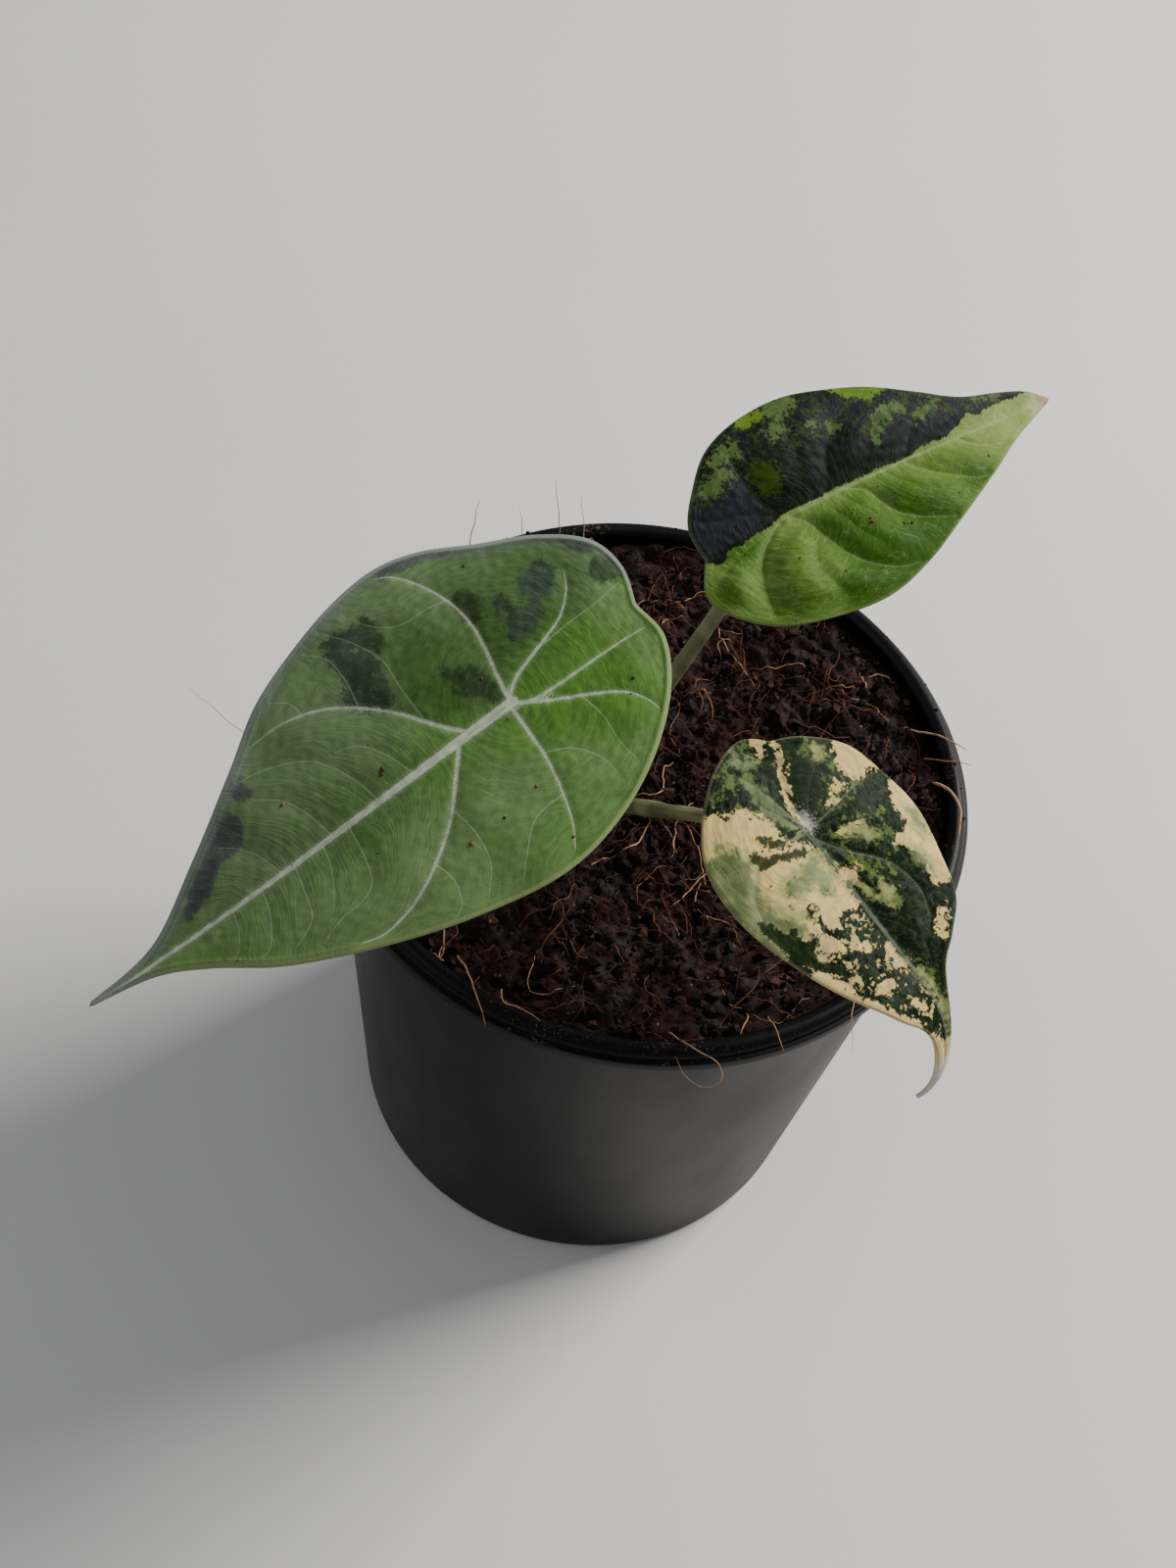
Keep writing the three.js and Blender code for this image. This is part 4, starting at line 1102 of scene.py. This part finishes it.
LARGE["fields"] = {
    "dark": lambda flat: inside(flat, [
        ((-17, -11), (-15.5, -10), (-12.5, -9.2), (-11.5, -7.5), (-8.5, -6.9), (-6, -7), (-5.8, -9),
         (-7, -10.5), (-6, -12.8), (-7.5, -13.5), (-8.8, -10.8), (-11, -10.5), (-11.6, -13.2),
         (-14.5, -14.6), (-17, -14.3)),
        ((14.3, -11), (16.5, -10.2), (20.3, -14), (18.6, -16.3), (18.2, -20.3), (17.5, -22.7),
         (14, -23), (11.8, -20.5), (12.8, -17), (13.2, -14))]).clip(max=0.8) + 0.2,
    "slate": lambda flat: inside(flat, [
        ((43.8, -7), (48, -6.3), (54, -4), (57, -3.2), (56, -5), (51, -8.6), (45.5, -11.5),
         (42.8, -11), (43.2, -8.5)),
        ((39, -11.8), (41, -12), (41.5, -14), (39.5, -14.4)),
        ((-7.5, -22.5), (-4, -24.2), (1, -25.3), (5, -26), (3, -27.8), (-4, -26.6), (-8, -24))]),
    "dim": lambda flat: inside(flat, [
        ((0.4, -1.2), (2.5, -2), (4, -3.5), (6, -6), (6.5, -9.5), (3.5, -8.5), (0.8, -6)),
        ((-3.5, -12), (-1.2, -12.5), (-1.4, -17), (-3.5, -17.8), (-5, -15)),
        ((-26.5, -5.5), (-23, -6), (-22.5, -8.5), (-24, -10), (-26.5, -8.5)),
        ((-24.5, -11), (-21.5, -13), (-21.5, -15), (-24, -13)),
        ((10, -17), (13, -18), (13, -22), (10.5, -22.5))]),
    # Grey-green bloom: the leaf's frosted bloom together with a painted sheen of the light from behind at a
    # grazing angle.
    "bloom_and_sheen": lambda flat: near_spots(flat, [
        (2, -24, 6, 1.1), (-8, -20, 5, 0.6), (24, -19, 9, 1), (14, -22, 7, 0.9), (33, -12, 10, 0.8),
        (45, -7, 9, 0.8), (22, -9, 6, 0.4), (56, -3, 5, 0.6), (-22, -9, 5, 0.5), (66, -2, 6, 0.5),
        (25, 14, 10, 0.55), (42, 8, 10, 0.6), (8, 10, 8, 0.4)]) - 0.45,
    # Darker green over the far half and round the hook: partly the leaf's own duller tone, partly painted
    # shade where the blade tilts away from the light.
    "dark_tone_and_shade": lambda flat: near_spots(flat, [
        (4, -13, 8, 1.2), (-5, -12, 7, 0.8), (-14, -11, 7, 0.9), (14, -16, 8, 0.8), (26, -6, 12, 0.65),
        (40, -6, 11, 0.7), (12, -22, 8, 0.6), (-20, -14, 7, 0.8), (30, -12, 9, 0.6),
        (3, -4, 5, 0.5), (-6, -19, 6, 0.7), (52, -4, 6, 0.5)]) - 0.42,
    "bright": lambda flat: near_spots(flat, [
        (-10, 3, 8, 0.9), (-10, -2.5, 7, 0.9), (8, -6, 4, 0.9), (-14, 9, 7, 0.6), (2, 6, 6, 0.6),
        (14, 2, 6, 0.6), (30, 2, 6, 0.4), (6, 20, 6, 0.4), (48, 2, 6, 0.3)]) - 0.4,
    "tan": lambda flat: flat[:, 0] - 69,
    "cold": lambda flat: np.minimum(
        -flat[:, 1] - 2, 1.7 - off_line(flat, smooth_line(LARGE["right"], np.linspace(0, 1, 120)))[0]),
}
large_finish = leaf_finish(
    "large_leaf_skin", ("#4f6935", "#5d7643"),
    [("bright", "#33590c", "#3e6812", 0.25, 0.35, 0.5, 0.75),
     # Darker far half: its own tone together with painted shade.
     ("dark_tone_and_shade", "#314920", "#29401b", 0.4, 0.4, 0.5, 0.75),
     # Frosted bloom with a painted sheen of grazing light.
     ("bloom_and_sheen", "#697a5c", "#5d7150", 0.25, 0.25, 0.6, 0.5),
     ("dim", "#1f2d18", "#182413", 1.1, 0.6, 0.7, 0.8),
     ("dark", "#2f3e2b", "#283626", 0.8, 0.5, 1.4, 0.5),
     ("dark", "#303d31", "#232f24", 1.6, 1.2, 0.4, 0.85),
     ("slate", "#3f4144", "#33353a", 1.0, 0.7, 0.4, 0.85),
     ("cold", "#5c6061", "#4d5350", 0.8, 0.5, 0.5, 0.45),
     ("tan", "#7f7450", "#6c6543", 0.6, 0.6, 2.5, 0.8)],
    vein=("#adb4a3", 0.88, 0.28, 0.2), veil=("dark_tone_and_shade", 0.3), net=("#8ea078", 0.08),
    margin=("#7f8e5c", "#7a7f7c", 0.6, 0.7),
    under="#8f9a78", gloss=(0.54, 0.66, 0.24), specks="#5a3a26", wax=0.07)
blade_large = blade("blade_large_skin", LARGE, 236, 98, large_finish)
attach(blade_large, "root")
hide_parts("blade_large")


# Upper blade
# A younger leaf, split along its midrib: one half blackish green with a painted bluish sheen in bands and
# yellow-green patches near its margin, the other light green, puffed up between sunken veins with painted
# shade in its valleys, with a tan tip.
UPPER["veins"] = {
    "strong": [
        ((0, 0), (-3, -1.5), (-6.5, -4), (-8.8, -7), (-10.2, -10.5), (-10.9, -14)),
        ((1.5, -0.3), (3.3, -2.5), (4.3, -6), (6, -10.5), (9, -14), (13, -16.3), (17, -17)),
        ((13.5, -0.3), (16, -1.8), (16.8, -5), (18.5, -8), (22, -10.5), (27, -12.6)),
        ((26, -0.5), (27.5, -2.5), (30.5, -5), (35, -7.7), (38, -8.4)),
        ((38, -0.5), (41, -2.8), (46, -4.2)),
        ((0, 0.4), (-6, 3), (-11, 4.2), (-14, 6)),
        ((0, 0.6), (-2.4, 5), (-3, 10), (-2.2, 15)),
        ((9, 0.4), (11, 3), (13, 7), (18, 11), (25, 12.8)),
        ((26, 0.5), (29, 4), (33, 6.8), (38, 7.3)),
    ],
    "fine": [
        ((11, -0.3), (12.3, -3), (13.5, -6.5), (15.5, -10), (19.5, -13.5)),
        ((8, -0.3), (8.6, -4), (9.6, -8), (12, -12)),
        ((3.8, -5), (0.5, -8.5), (-0.3, -12), (1.5, -16.5)),
        ((21, -0.4), (22.3, -3.5), (25, -6.5), (30, -9.3)),
        ((-0.5, -0.5), (-7, -1.8), (-12, -3.4), (-16.5, -5.5)),
        ((4, 0.5), (6.5, 5), (8, 10), (9, 15)),
        ((17, 0.4), (20, 4), (24, 8), (30, 9.8)),
    ]}
UPPER.update(puff=(0.7, 2.0), groove=(0.1, 0.3), vein_width=0.5, roll=0.06, sway=0.15, seed=51)
UPPER["fields"] = {
    "dark": lambda flat: inside(flat, [
        ((-15.5, -1.2), (-14, -2.5), (-12, -2.2), (-11, -0.9), (-7, -0.8), (-2, -0.2), (0, 0.3),
         (8, 0.5), (16, 0.5), (27, 0.5), (30, 1), (35, 1), (38, 1.9), (40, 2.3), (42, 3.4),
         (43.5, 2.2), (46, 2.8), (50, 2.8), (53, 2.9), (55.5, 2.6), (54, 4.5), (42, 8), (34, 12),
         (24, 17), (13, 20), (3, 20), (-6, 17.5), (-13, 11), (-17, 5))]),
    "yellow": lambda flat: inside(flat, [
        ((19, 16.8), (22, 17), (26, 15), (28.5, 13), (28, 12.5), (24.5, 12.4), (22.5, 13), (21.3, 14.4)),
        ((0.8, 17), (3, 18.3), (6, 18), (6.2, 16.5), (3.5, 16.2), (1.8, 16.3))]),
    "pale": lambda flat: inside(flat, [
        ((6.5, 17.5), (8.5, 18.8), (12, 18), (13, 16), (10.5, 15), (8.5, 15.3), (6.8, 16)),
        ((-7, 12.8), (-5, 14.3), (-2.5, 15), (-0.8, 14.5), (-0.7, 13), (-3, 12), (-5.5, 11.8)),
        ((4.5, 13.8), (6, 14.8), (8, 14.6), (8.6, 13), (7, 11.8), (5, 12.2)),
        ((22, 7), (23.5, 8.4), (25, 8), (24, 6), (22.5, 4.2), (21.5, 4.5)),
        ((24.5, 8.2), (26, 9.8), (27.5, 9), (27, 7.6)), ((43.5, 5.6), (47, 4.9), (50, 4.3), (46, 4)),
        ((11.5, 11.4), (13, 12.6), (13.3, 11.2)), ((15.5, 9.4), (16, 11), (16.8, 9.6)),
        ((-11, 9.5), (-8.5, 10.5), (-6, 12), (-4, 10), (-8, 8)),
        ((31, 6), (34, 7.4), (38, 6.6), (32.5, 5.2)),
        ((28, 9.5), (31, 9), (30, 7.5), (27.5, 8))]),
    "dim": lambda flat: inside(flat, [
        ((-2, 9), (0, 9.8), (2.5, 9), (3.2, 6.5), (1.8, 4.4), (-1, 4.5), (-2, 7))]),
    "freckled": lambda flat: inside(flat, [
        ((-13, 8), (-7, 15), (0, 18.5), (10, 19), (20, 17), (30, 12), (40, 7.5), (50, 4.6),
         (46, 3.6), (36, 5), (28, 6.5), (20, 5), (19, 9), (12, 9.5), (6, 10), (2, 11), (-3, 9.5),
         (-9, 6.5))]).clip(max=0) - 0.45,
    # Painted sheen: slate-blue bands of the light reflected off the puffs of the dark half.
    "painted_sheen": lambda flat: np.minimum(UPPER["fields"]["dark"](flat) - 0.4, near_spots(flat, [
        (-9, 2.5, 6, 1.3), (14, 13.5, 8, 1), (28, 10, 9, 1), (40, 5, 8, 1.1), (2, 14, 5, 0.9),
        (-6, 8, 5, 0.7), (-12, 6, 5, 1), (50, 4, 5, 1)]) - 0.6),
    # Painted shade in the valleys between the puffed panels of the light half.
    "painted_valley_shade": lambda flat: near_spots(flat, [
        (11, -15.5, 5, 1.2), (4, -17.5, 4, 0.9), (25, -12, 5, 1.1), (18, -15, 4, 0.9), (36, -8, 5, 0.8),
        (9, -7, 6, 0.65), (6, -4, 3, 0.3), (-9, -2, 4, 0.8), (-7, -15, 4, 0.6), (-16, -8, 3, 0.5),
        (20, -5, 5, 0.5)]) - 0.4,
    "butter": lambda flat: np.clip(flat[:, 0] - 30, 0, 30) / 22 - 0.3 - 0.06 * abs(flat[:, 1]),
    "ivory": lambda flat: flat[:, 0] - 52 - 3 * flat[:, 1].clip(1.2, 9),
    "tan": lambda flat: flat[:, 0] - 57.6,
}
upper_finish = leaf_finish(
    "upper_leaf_skin", ("#506a28", "#617b3b"),
    # Painted shade in the valleys of the light half.
    [("painted_valley_shade", "#2a4b0a", "#224107", 0.1, 0.25, 0.55, 0.85),
     ("butter", "#8f9b5a", "#848f50", 0.12, 0.25, 0.5, 0.7),
     ("dark", "#050904", "#090f07", 0.55, 1.0, 0.1, 0.97),
     # Painted sheen on the dark half.
     ("painted_sheen", "#191b20", "#24242b", 0.9, 0.8, 0.5, 0.8),
     ("freckled", "#263a12", "#334716", 2.3, 1.7, 0.35, 0.8),
     ("dim", "#243c09", "#31480d", 2.3, 1.6, 0.6, 0.75),
     ("pale", "#445a2b", "#4f6433", 2.1, 1.3, 0.5, 0.85),
     ("yellow", "#526d1e", "#607d25", 1.6, 1.4, 0.3, 0.92),
     ("ivory", "#b9b88d", "#aaaa7a", 0.5, 0.5, 4.0, 0.75),
     ("tan", "#a98a72", "#8f705a", 0.3, 0.8, 1.2, 0.9)],
    vein=("#94a26f", 0.42, 0.25, 0.05), veil=("dark", 0.95), net=("#8ca65c", 0.2),
    margin=("#4e5d3c", "#74864f", 0.25, 0.45),
    under="#93a078", gloss=(0.42, 0.54, 0.38), specks="#2c2a1a", wax=0.05)
blade_upper = blade("blade_upper_skin", UPPER, 200, 92, upper_finish)
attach(blade_upper, "root")
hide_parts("blade_upper")


# Variegated blade
# The youngest leaf: cream sectors and grey-green clouds on dark green, broken into a mosaic near
# the tail, with a white speckled joint and a long cream tip that curls under.
VARIEGATED["veins"] = {
    "strong": [
        ((1.1, 0.8), (-5.2, 0.8), (-10.5, 2.9), (-14, 4.7)),
        ((1, -0.3), (0, -5.2), (0, -10), (1.9, -13.3), (6.1, -16.1), (11.9, -16.5)),
        ((0, 0), (-5.8, -1.5), (-11.2, -3.5), (-15, -6)),
        ((2.8, 0.6), (7.6, 4), (12.5, 8.4), (19, 10), (24, 8)),
        ((0.8, 0.8), (-0.2, 8.1), (-0.9, 13.6), (-0.5, 17.4)),
        ((9, -0.4), (11.5, -3.8), (14.5, -8.6), (19, -12.5)),
    ],
    "fine": [
        ((18, 0.4), (21.5, 3), (26, 4.6), (30, 3)),
        ((18, -0.4), (21.5, -3.5), (26, -6), (31, -7)),
        ((27, 0.3), (31, 1.6), (35, 1.7)),
        ((0.6, 0.6), (-5, 5), (-8, 10), (-8.8, 12.6)),
        ((1.8, 0.8), (5, 6), (8, 11.5), (12, 16)),
    ]}
VARIEGATED.update(puff=(0.35, 0.35), groove=(0.14, 0.14), vein_width=0.6, roll=0.08, sway=0.15, seed=61)
VARIEGATED["fields"] = {
    "cream": lambda flat: np.maximum(inside(flat, [
        ((-8.7, 14.2), (-7, 16.4), (-3, 18), (0, 19), (-1.5, 17), (-1.3, 14.5), (-2.5, 12.6),
         (-4, 12), (-7.8, 12.6)),
        ((2.3, 18.4), (4.5, 21), (9, 21), (14, 20), (19.5, 17.6), (21, 15), (19.5, 13), (17, 13.2),
         (14, 13.5), (11.5, 11.8), (10, 12), (9.7, 15.3), (8, 15.8), (5, 16), (3.5, 17.2)),
        ((-3, 9.5), (-1.5, 10), (-0.7, 7), (-0.8, 5), (-1.8, 7)),
        ((3.7, 4.4), (4, 7.6), (4.9, 8.6), (5, 7), (4.5, 4.9)),
        ((-14.6, 5.1), (-12, 4.6), (-8, 2.8), (-4, 0.8), (-1, 0), (-4, 0.1), (-8, 1.5), (-13.5, 3.9)),
        ((-17, 3), (-15, 3.4), (-13, 2.2), (-12.8, 1), (-14.5, 1), (-16.5, 1.4)),
        ((-6, -6), (-3, -5), (0, -4), (2, -2), (3.5, -0.8), (8, -0.4), (15, -0.4), (15, -5),
         (16.5, -6.5), (15.5, -8.3), (11, -8), (10.5, -10.5), (8, -12), (6, -13.5), (3, -13.5),
         (0, -12.8), (-3, -14), (-5, -15.8), (-4, -18.6), (-7, -18.5), (-11, -15), (-10.5, -12.5),
         (-9, -11), (-8, -8.5)),
        ((-6, -15), (-3, -12.5), (3, -12.5), (8, -11.5), (13, -10.5), (14.5, -12.5), (12.5, -15),
         (14.5, -17.5), (10, -21), (4, -22), (-4, -21), (-7, -18)),
        ((9.3, 2.5), (10.3, 3.8), (11.2, 2.5), (11, 0.8), (9.3, 0.6), (8.5, 1.2)),
        ((23.5, 12.5), (25, 11), (27, 9), (28.2, 7.6), (26, 7.6), (24.3, 9.8), (23.5, 11)),
        ((31.8, -3.8), (33.5, -2.3), (35, -1.8), (34.5, -3.3), (33, -4.2)),
        ((27, -5), (28.5, -5), (28.8, -8), (27, -8.2)),
        ((22.8, -1), (27, -1), (27.5, -2.5), (25.5, -2.3), (24, -1.6)),
        ((20.2, -3.2), (22, -4.5), (21.4, -5.6), (20, -4.8)),
        ((17.5, -7.5), (18.8, -8), (18.8, -9.8), (15, -10.8), (13.3, -9.2), (16, -9.3)),
        ((18, -14.8), (24, -12), (29, -9.6), (35, -5.6), (42, -1.4), (46, 0.8), (50, 6), (70, 6),
         (70, -8), (44, -6), (34, -11), (24, -16))]), flat[:, 0] - 42.5),
    "mist": lambda flat: inside(flat, [
        ((4.6, -1.6), (9, -1.4), (10.5, -4), (8.5, -6), (7.4, -10), (5.2, -9.5), (5.2, -6), (4.5, -3)),
        ((-5, -15.5), (-3, -13), (0, -12.5), (3, -14), (5, -14.5), (8, -13), (13, -11),
         (14.5, -13), (12, -15), (14, -17), (10, -19.5), (4, -21), (-2, -20.3), (-4.5, -18)),
        ((-13, -3), (-9, -2), (-5, -1), (0, -1), (-1, -2.5), (-4, -4), (-10, -5), (-12, -4.5)),
        ((7, 17.4), (9, 19), (12.5, 18.6), (11, 17)), ((13, 13.4), (15.5, 15), (19, 14), (16, 12.8)),
        ((-17, -2), (-13.5, -0.8), (-12.5, -2.4), (-15.5, -4))]),
    "fringe": lambda flat: np.maximum(
        np.minimum(VARIEGATED["fields"]["mist"](flat) + 1, VARIEGATED["fields"]["cream"](flat)),
        inside(flat, [
            ((13, 4.9), (16, 5.6), (18.3, 4.8), (17.7, 3.2), (15.5, 2), (11.5, 1), (12.3, 2),
             (15, 3.2), (15.2, 4)),
            ((4, 5.6), (4.4, 8.4), (6, 9.7), (8.2, 9.4), (8.2, 8), (6.4, 7), (5.2, 5.4)),
            ((-10.5, 10.4), (-7.5, 11.8), (-7, 10), (-9.5, 8.6)),
            ((27, 0.9), (32, 1.7), (38, 1.4), (42, 0.8), (36, 0.4), (30, 0.5))]) - 0.1),
    "flecked": lambda flat: inside(flat, [
        ((-13, 8), (-9, 11.5), (-6, 11), (-4, 8), (-8, 7)),
        ((-3.5, 5), (-3, 13), (0.5, 13), (1, 5), (-1, 3)),
        ((2.5, 5), (4, 12.5), (9.5, 12.5), (13, 8), (9, 5), (4, 2.5)),
        ((7, 1), (10, 6), (16, 8), (19, 5), (14, 1)),
        ((-17, 1), (-13, 1), (-11, -6), (-12, -11), (-15, -8)),
        ((-9, -5), (-4, -5), (-6, -9.5), (-9.5, -8.5)),
        ((25, 0.4), (30, 3), (36, 2.2), (40, 0.8), (32, 0.3))]).clip(max=0) - 0.3,
    "island": lambda flat: inside(flat, [
        ((-3, -8.6), (-2, -7), (0, -5), (1, -4.5), (0, -6.5), (-1.5, -8)),
        ((-1.5, -11.5), (-1, -10.5), (0.5, -9), (1.5, -6), (2, -4), (3, -2.5), (3.3, -3.2),
         (2.5, -6), (1.5, -9), (1, -11.3)),
        ((12, -13), (14, -13.6), (17, -13), (20, -13.4), (17, -15.6), (12, -17), (8, -17.5),
         (9, -16.4), (12, -15.2))]) + 0.3,
    "mosaic": lambda flat: inside(flat, [
        ((15, -0.8), (22, -0.6), (30, -0.6), (40, -0.8), (36, -4.5), (28, -9.5), (20, -13),
         (13.5, -13), (10, -9.5), (11, -8.4), (15.5, -8.4), (16.3, -6.5), (15.2, -4.5))
        ]).clip(max=0) - 0.5,
    "streaked": lambda flat: near_spots(flat, [
        (-6, 5, 6, 1), (-3, 9, 5, 0.7), (-9, 6, 5, 0.7), (6, 5, 5, 0.4), (2, 12, 4, 0.6)]) - 0.4,
    "pink": lambda flat: flat[:, 0] - 47,
    "joint": lambda flat: 1.0 - np.hypot((flat[:, 0] + 0.8) * 0.6, flat[:, 1] - 1),
}
variegated_finish = leaf_finish(
    "variegated_leaf_skin", ("#081306", "#11230b"),
    [("streaked", "#3c4638", "#2c382a", 1.5, 0.9, 0.4, 0.55),
     ("flecked", "#52682c", "#67793f", 2.0, 0.8, 0.3, 0.75),
     ("cream", "#d3bc70", "#ccae78", 1.5, 0.9, 0.12, 0.97),
     ("mosaic", "#c4b26c", "#b9a672", 2.4, 0.8, 0.12, 0.94),
     ("fringe", "#93985c", "#a3a26a", 1.8, 0.7, 0.7, 0.8),
     ("mist", "#465833", "#7a835a", 2.0, 0.5, 0.7, 0.88),
     ("island", "#0e2009", "#142810", 0.9, 1.0, 0.2, 0.95),
     ("pink", "#dccfc4", "#d2c4ba", 0.8, 0.6, 2.5, 0.9),
     ("joint", "#c9c1b9", "#a9a19b", 1.5, 2.6, 0.3, 0.85)],
    vein=("#8a947e", 0.35, 0.12, 0.08), veil=("cream", 0.6), net=("#8c9a6c", 0.08),
    margin=("#8f8c62", "#b0a57e", 0.2, 0.3),
    under="#c3bba0", gloss=(0.44, 0.56, 0.3), specks="#3a2a1c", wax=0.06)
blade_variegated = blade("blade_variegated_skin", VARIEGATED, 210, 92, variegated_finish)
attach(blade_variegated, "root")
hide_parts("blade_variegated")


# Grit on the leaves
# Small crumbs and chips of coco that watering has splashed onto the upper faces.
GRIT = (
    (LARGE, ((21.8, -3.5, 0.5), (22.3, -3, 0.34), (6, 21.4, 0.35), (5.8, 12.3, 0.3), (12.6, 13.2, 0.28),
             (18.7, 13.2, 0.32), (-17, 8.1, 0.26), (-15, 9.8, 0.26), (1.8, -5.4, 0.34), (-6.5, -20.3, 0.3),
             (2, 1.7, 0.3), (54.8, 6, 0.26), (36.5, -8, 0.3), (30, 6, 0.2), (-12, -16, 0.2))),
    (UPPER, ((12, -8, 0.45), (12.3, -7.3, 0.35), (17.4, -10.2, 0.3), (18, -10.5, 0.32), (18.7, -10.7, 0.28),
             (30, -9.4, 0.32), (2.2, 1.1, 0.3), (18, -2.3, 0.24), (40, -5.3, 0.28), (10.7, -6.5, 0.22),
             (-2.8, -8.3, 0.26), (3, -13.3, 0.24))),
    (VARIEGATED, ((4.4, 13, 0.3), (4.3, -11.9, 0.24), (-1, -9.3, 0.24), (10.3, -3.7, 0.22))),
)
draw = np.random.default_rng(77)
grit_places, grit_sizes = [], []
for leaf, specks in GRIT:
    flat, sizes = np.split(np.array(specks), [2], axis=1)
    points, square, *_ = upper_face(leaf, flat)
    grit_places.append(set_in_place(leaf, points + 0.2 * sizes * square))
    grit_sizes.append(sizes[:, 0])
grit_sizes = np.concatenate(grit_sizes)
grit_finish, shader = new_finish("grit_bits", IOR=1.4, Roughness=0.75)
tone, grain = own_measure(shader, "tone"), noise(own_place(shader), 2500, 3)
rust = blend(ramp(tone, 0.2, 0.8), "#2a1a10", "#8a4a2c")
feed(shader, {"Base Color": blend(ramp(grain, 0.45, 0.65, 0, 0.6), rust, "#3a2116")})
grit = mesh_piece("leaf_grit", *lumps(draw, np.vstack(grit_places), grit_sizes), grit_finish)
measure(grit, "tone", np.repeat(draw.uniform(0, 1, len(grit_sizes)), LUMP_CORNERS))
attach(grit, "root")


# Fibres over the rim
# Long coir fibres that stick out of the soil: over the bead in front, up behind, and one far out
# under the large leaf.
RIM_FIBRES = (
    (0.11, ((12, -52, 103.2), (14.9, -55.6, 107), (17.6, -57.4, 108.2), (20.8, -58.6, 108),
            (21.8, -60.9, 106.6), (18.7, -62, 104.8), (15.4, -61, 106.2), (13.4, -58.4, 107))),
    (0.14, ((-26, -45, 103.2), (-23.4, -50.5, 106.6), (-21, -55.5, 108.2), (-18.9, -59.6, 106.8))),
    (0.11, ((-17.5, -50, 103.2), (-16.7, -54.5, 106.9), (-13.2, -55.8, 108), (-9.8, -57, 106.9))),
    (0.1, ((42, -34, 103.3), (42.3, -39.6, 107), (42.2, -45, 108), (43.5, -49.5, 105.6))),
    (0.1, ((28.5, -45, 103.2), (29.8, -49.5, 107), (31.4, -53.6, 107.6))),
    (0.32, ((52.5, 11.5, 103.4), (55.2, 8.6, 106.2), (57.4, 4.4, 107.2), (58, -1.5, 106.7))),
    (0.2, ((47.5, 22.6, 103.4), (52.6, 19.8, 106.9), (57.7, 16.9, 107.9))),
    (0.14, ((50.5, 16.6, 103.4), (54.6, 14.4, 107), (58.7, 13.4, 108.6))),
    (0.13, ((-41, 43, 103.3), (-41.3, 46, 107.8), (-40.8, 50.1, 112))),
    (0.11, ((-24.5, 49.5, 103.3), (-25.5, 52, 109.5), (-27.8, 55.7, 116))),
    (0.11, ((-19.6, 50, 103.3), (-20.5, 52, 108.2), (-22.2, 55.5, 113))),
    (0.09, ((-31.3, 46, 103.3), (-32, 48.8, 107.4), (-33.1, 50.5, 111))),
    (0.1, ((-53, -8, 103.3), (-60.5, -14, 109), (-66.5, -16.3, 112), (-71.8, -14.8, 113),
           (-78.3, -10.2, 112.6), (-83.2, -7.1, 112))),
)
RIM_FIBRE_STEPS = 36
RIM_FIBRE_SIDES = 6
share = np.linspace(0, 1, RIM_FIBRE_STEPS)
rim_paths = np.stack([smooth_line(points, share) for _, points in RIM_FIBRES])
rim_paths += 0.12 * np.stack([ripples(rim_paths, 4, seed) for seed in (91, 92, 93)], -1)
rim_radii = np.array([radius for radius, _ in RIM_FIBRES])[:, None] * (1 - 0.7 * share ** 3)
rim_fibres = mesh_piece("rim_fibres", *strands(rim_paths, rim_radii, RIM_FIBRE_SIDES), fibre_finish)
rim_corners = (RIM_FIBRE_STEPS + 2) * RIM_FIBRE_SIDES
# The fibres over the rim take the palest tones: partly their own pale gold, partly a painted highlight.
measure(rim_fibres, "tone", np.repeat(draw.uniform(0.86, 1, len(RIM_FIBRES)), rim_corners))
weld(rim_fibres)
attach(rim_fibres, "root")
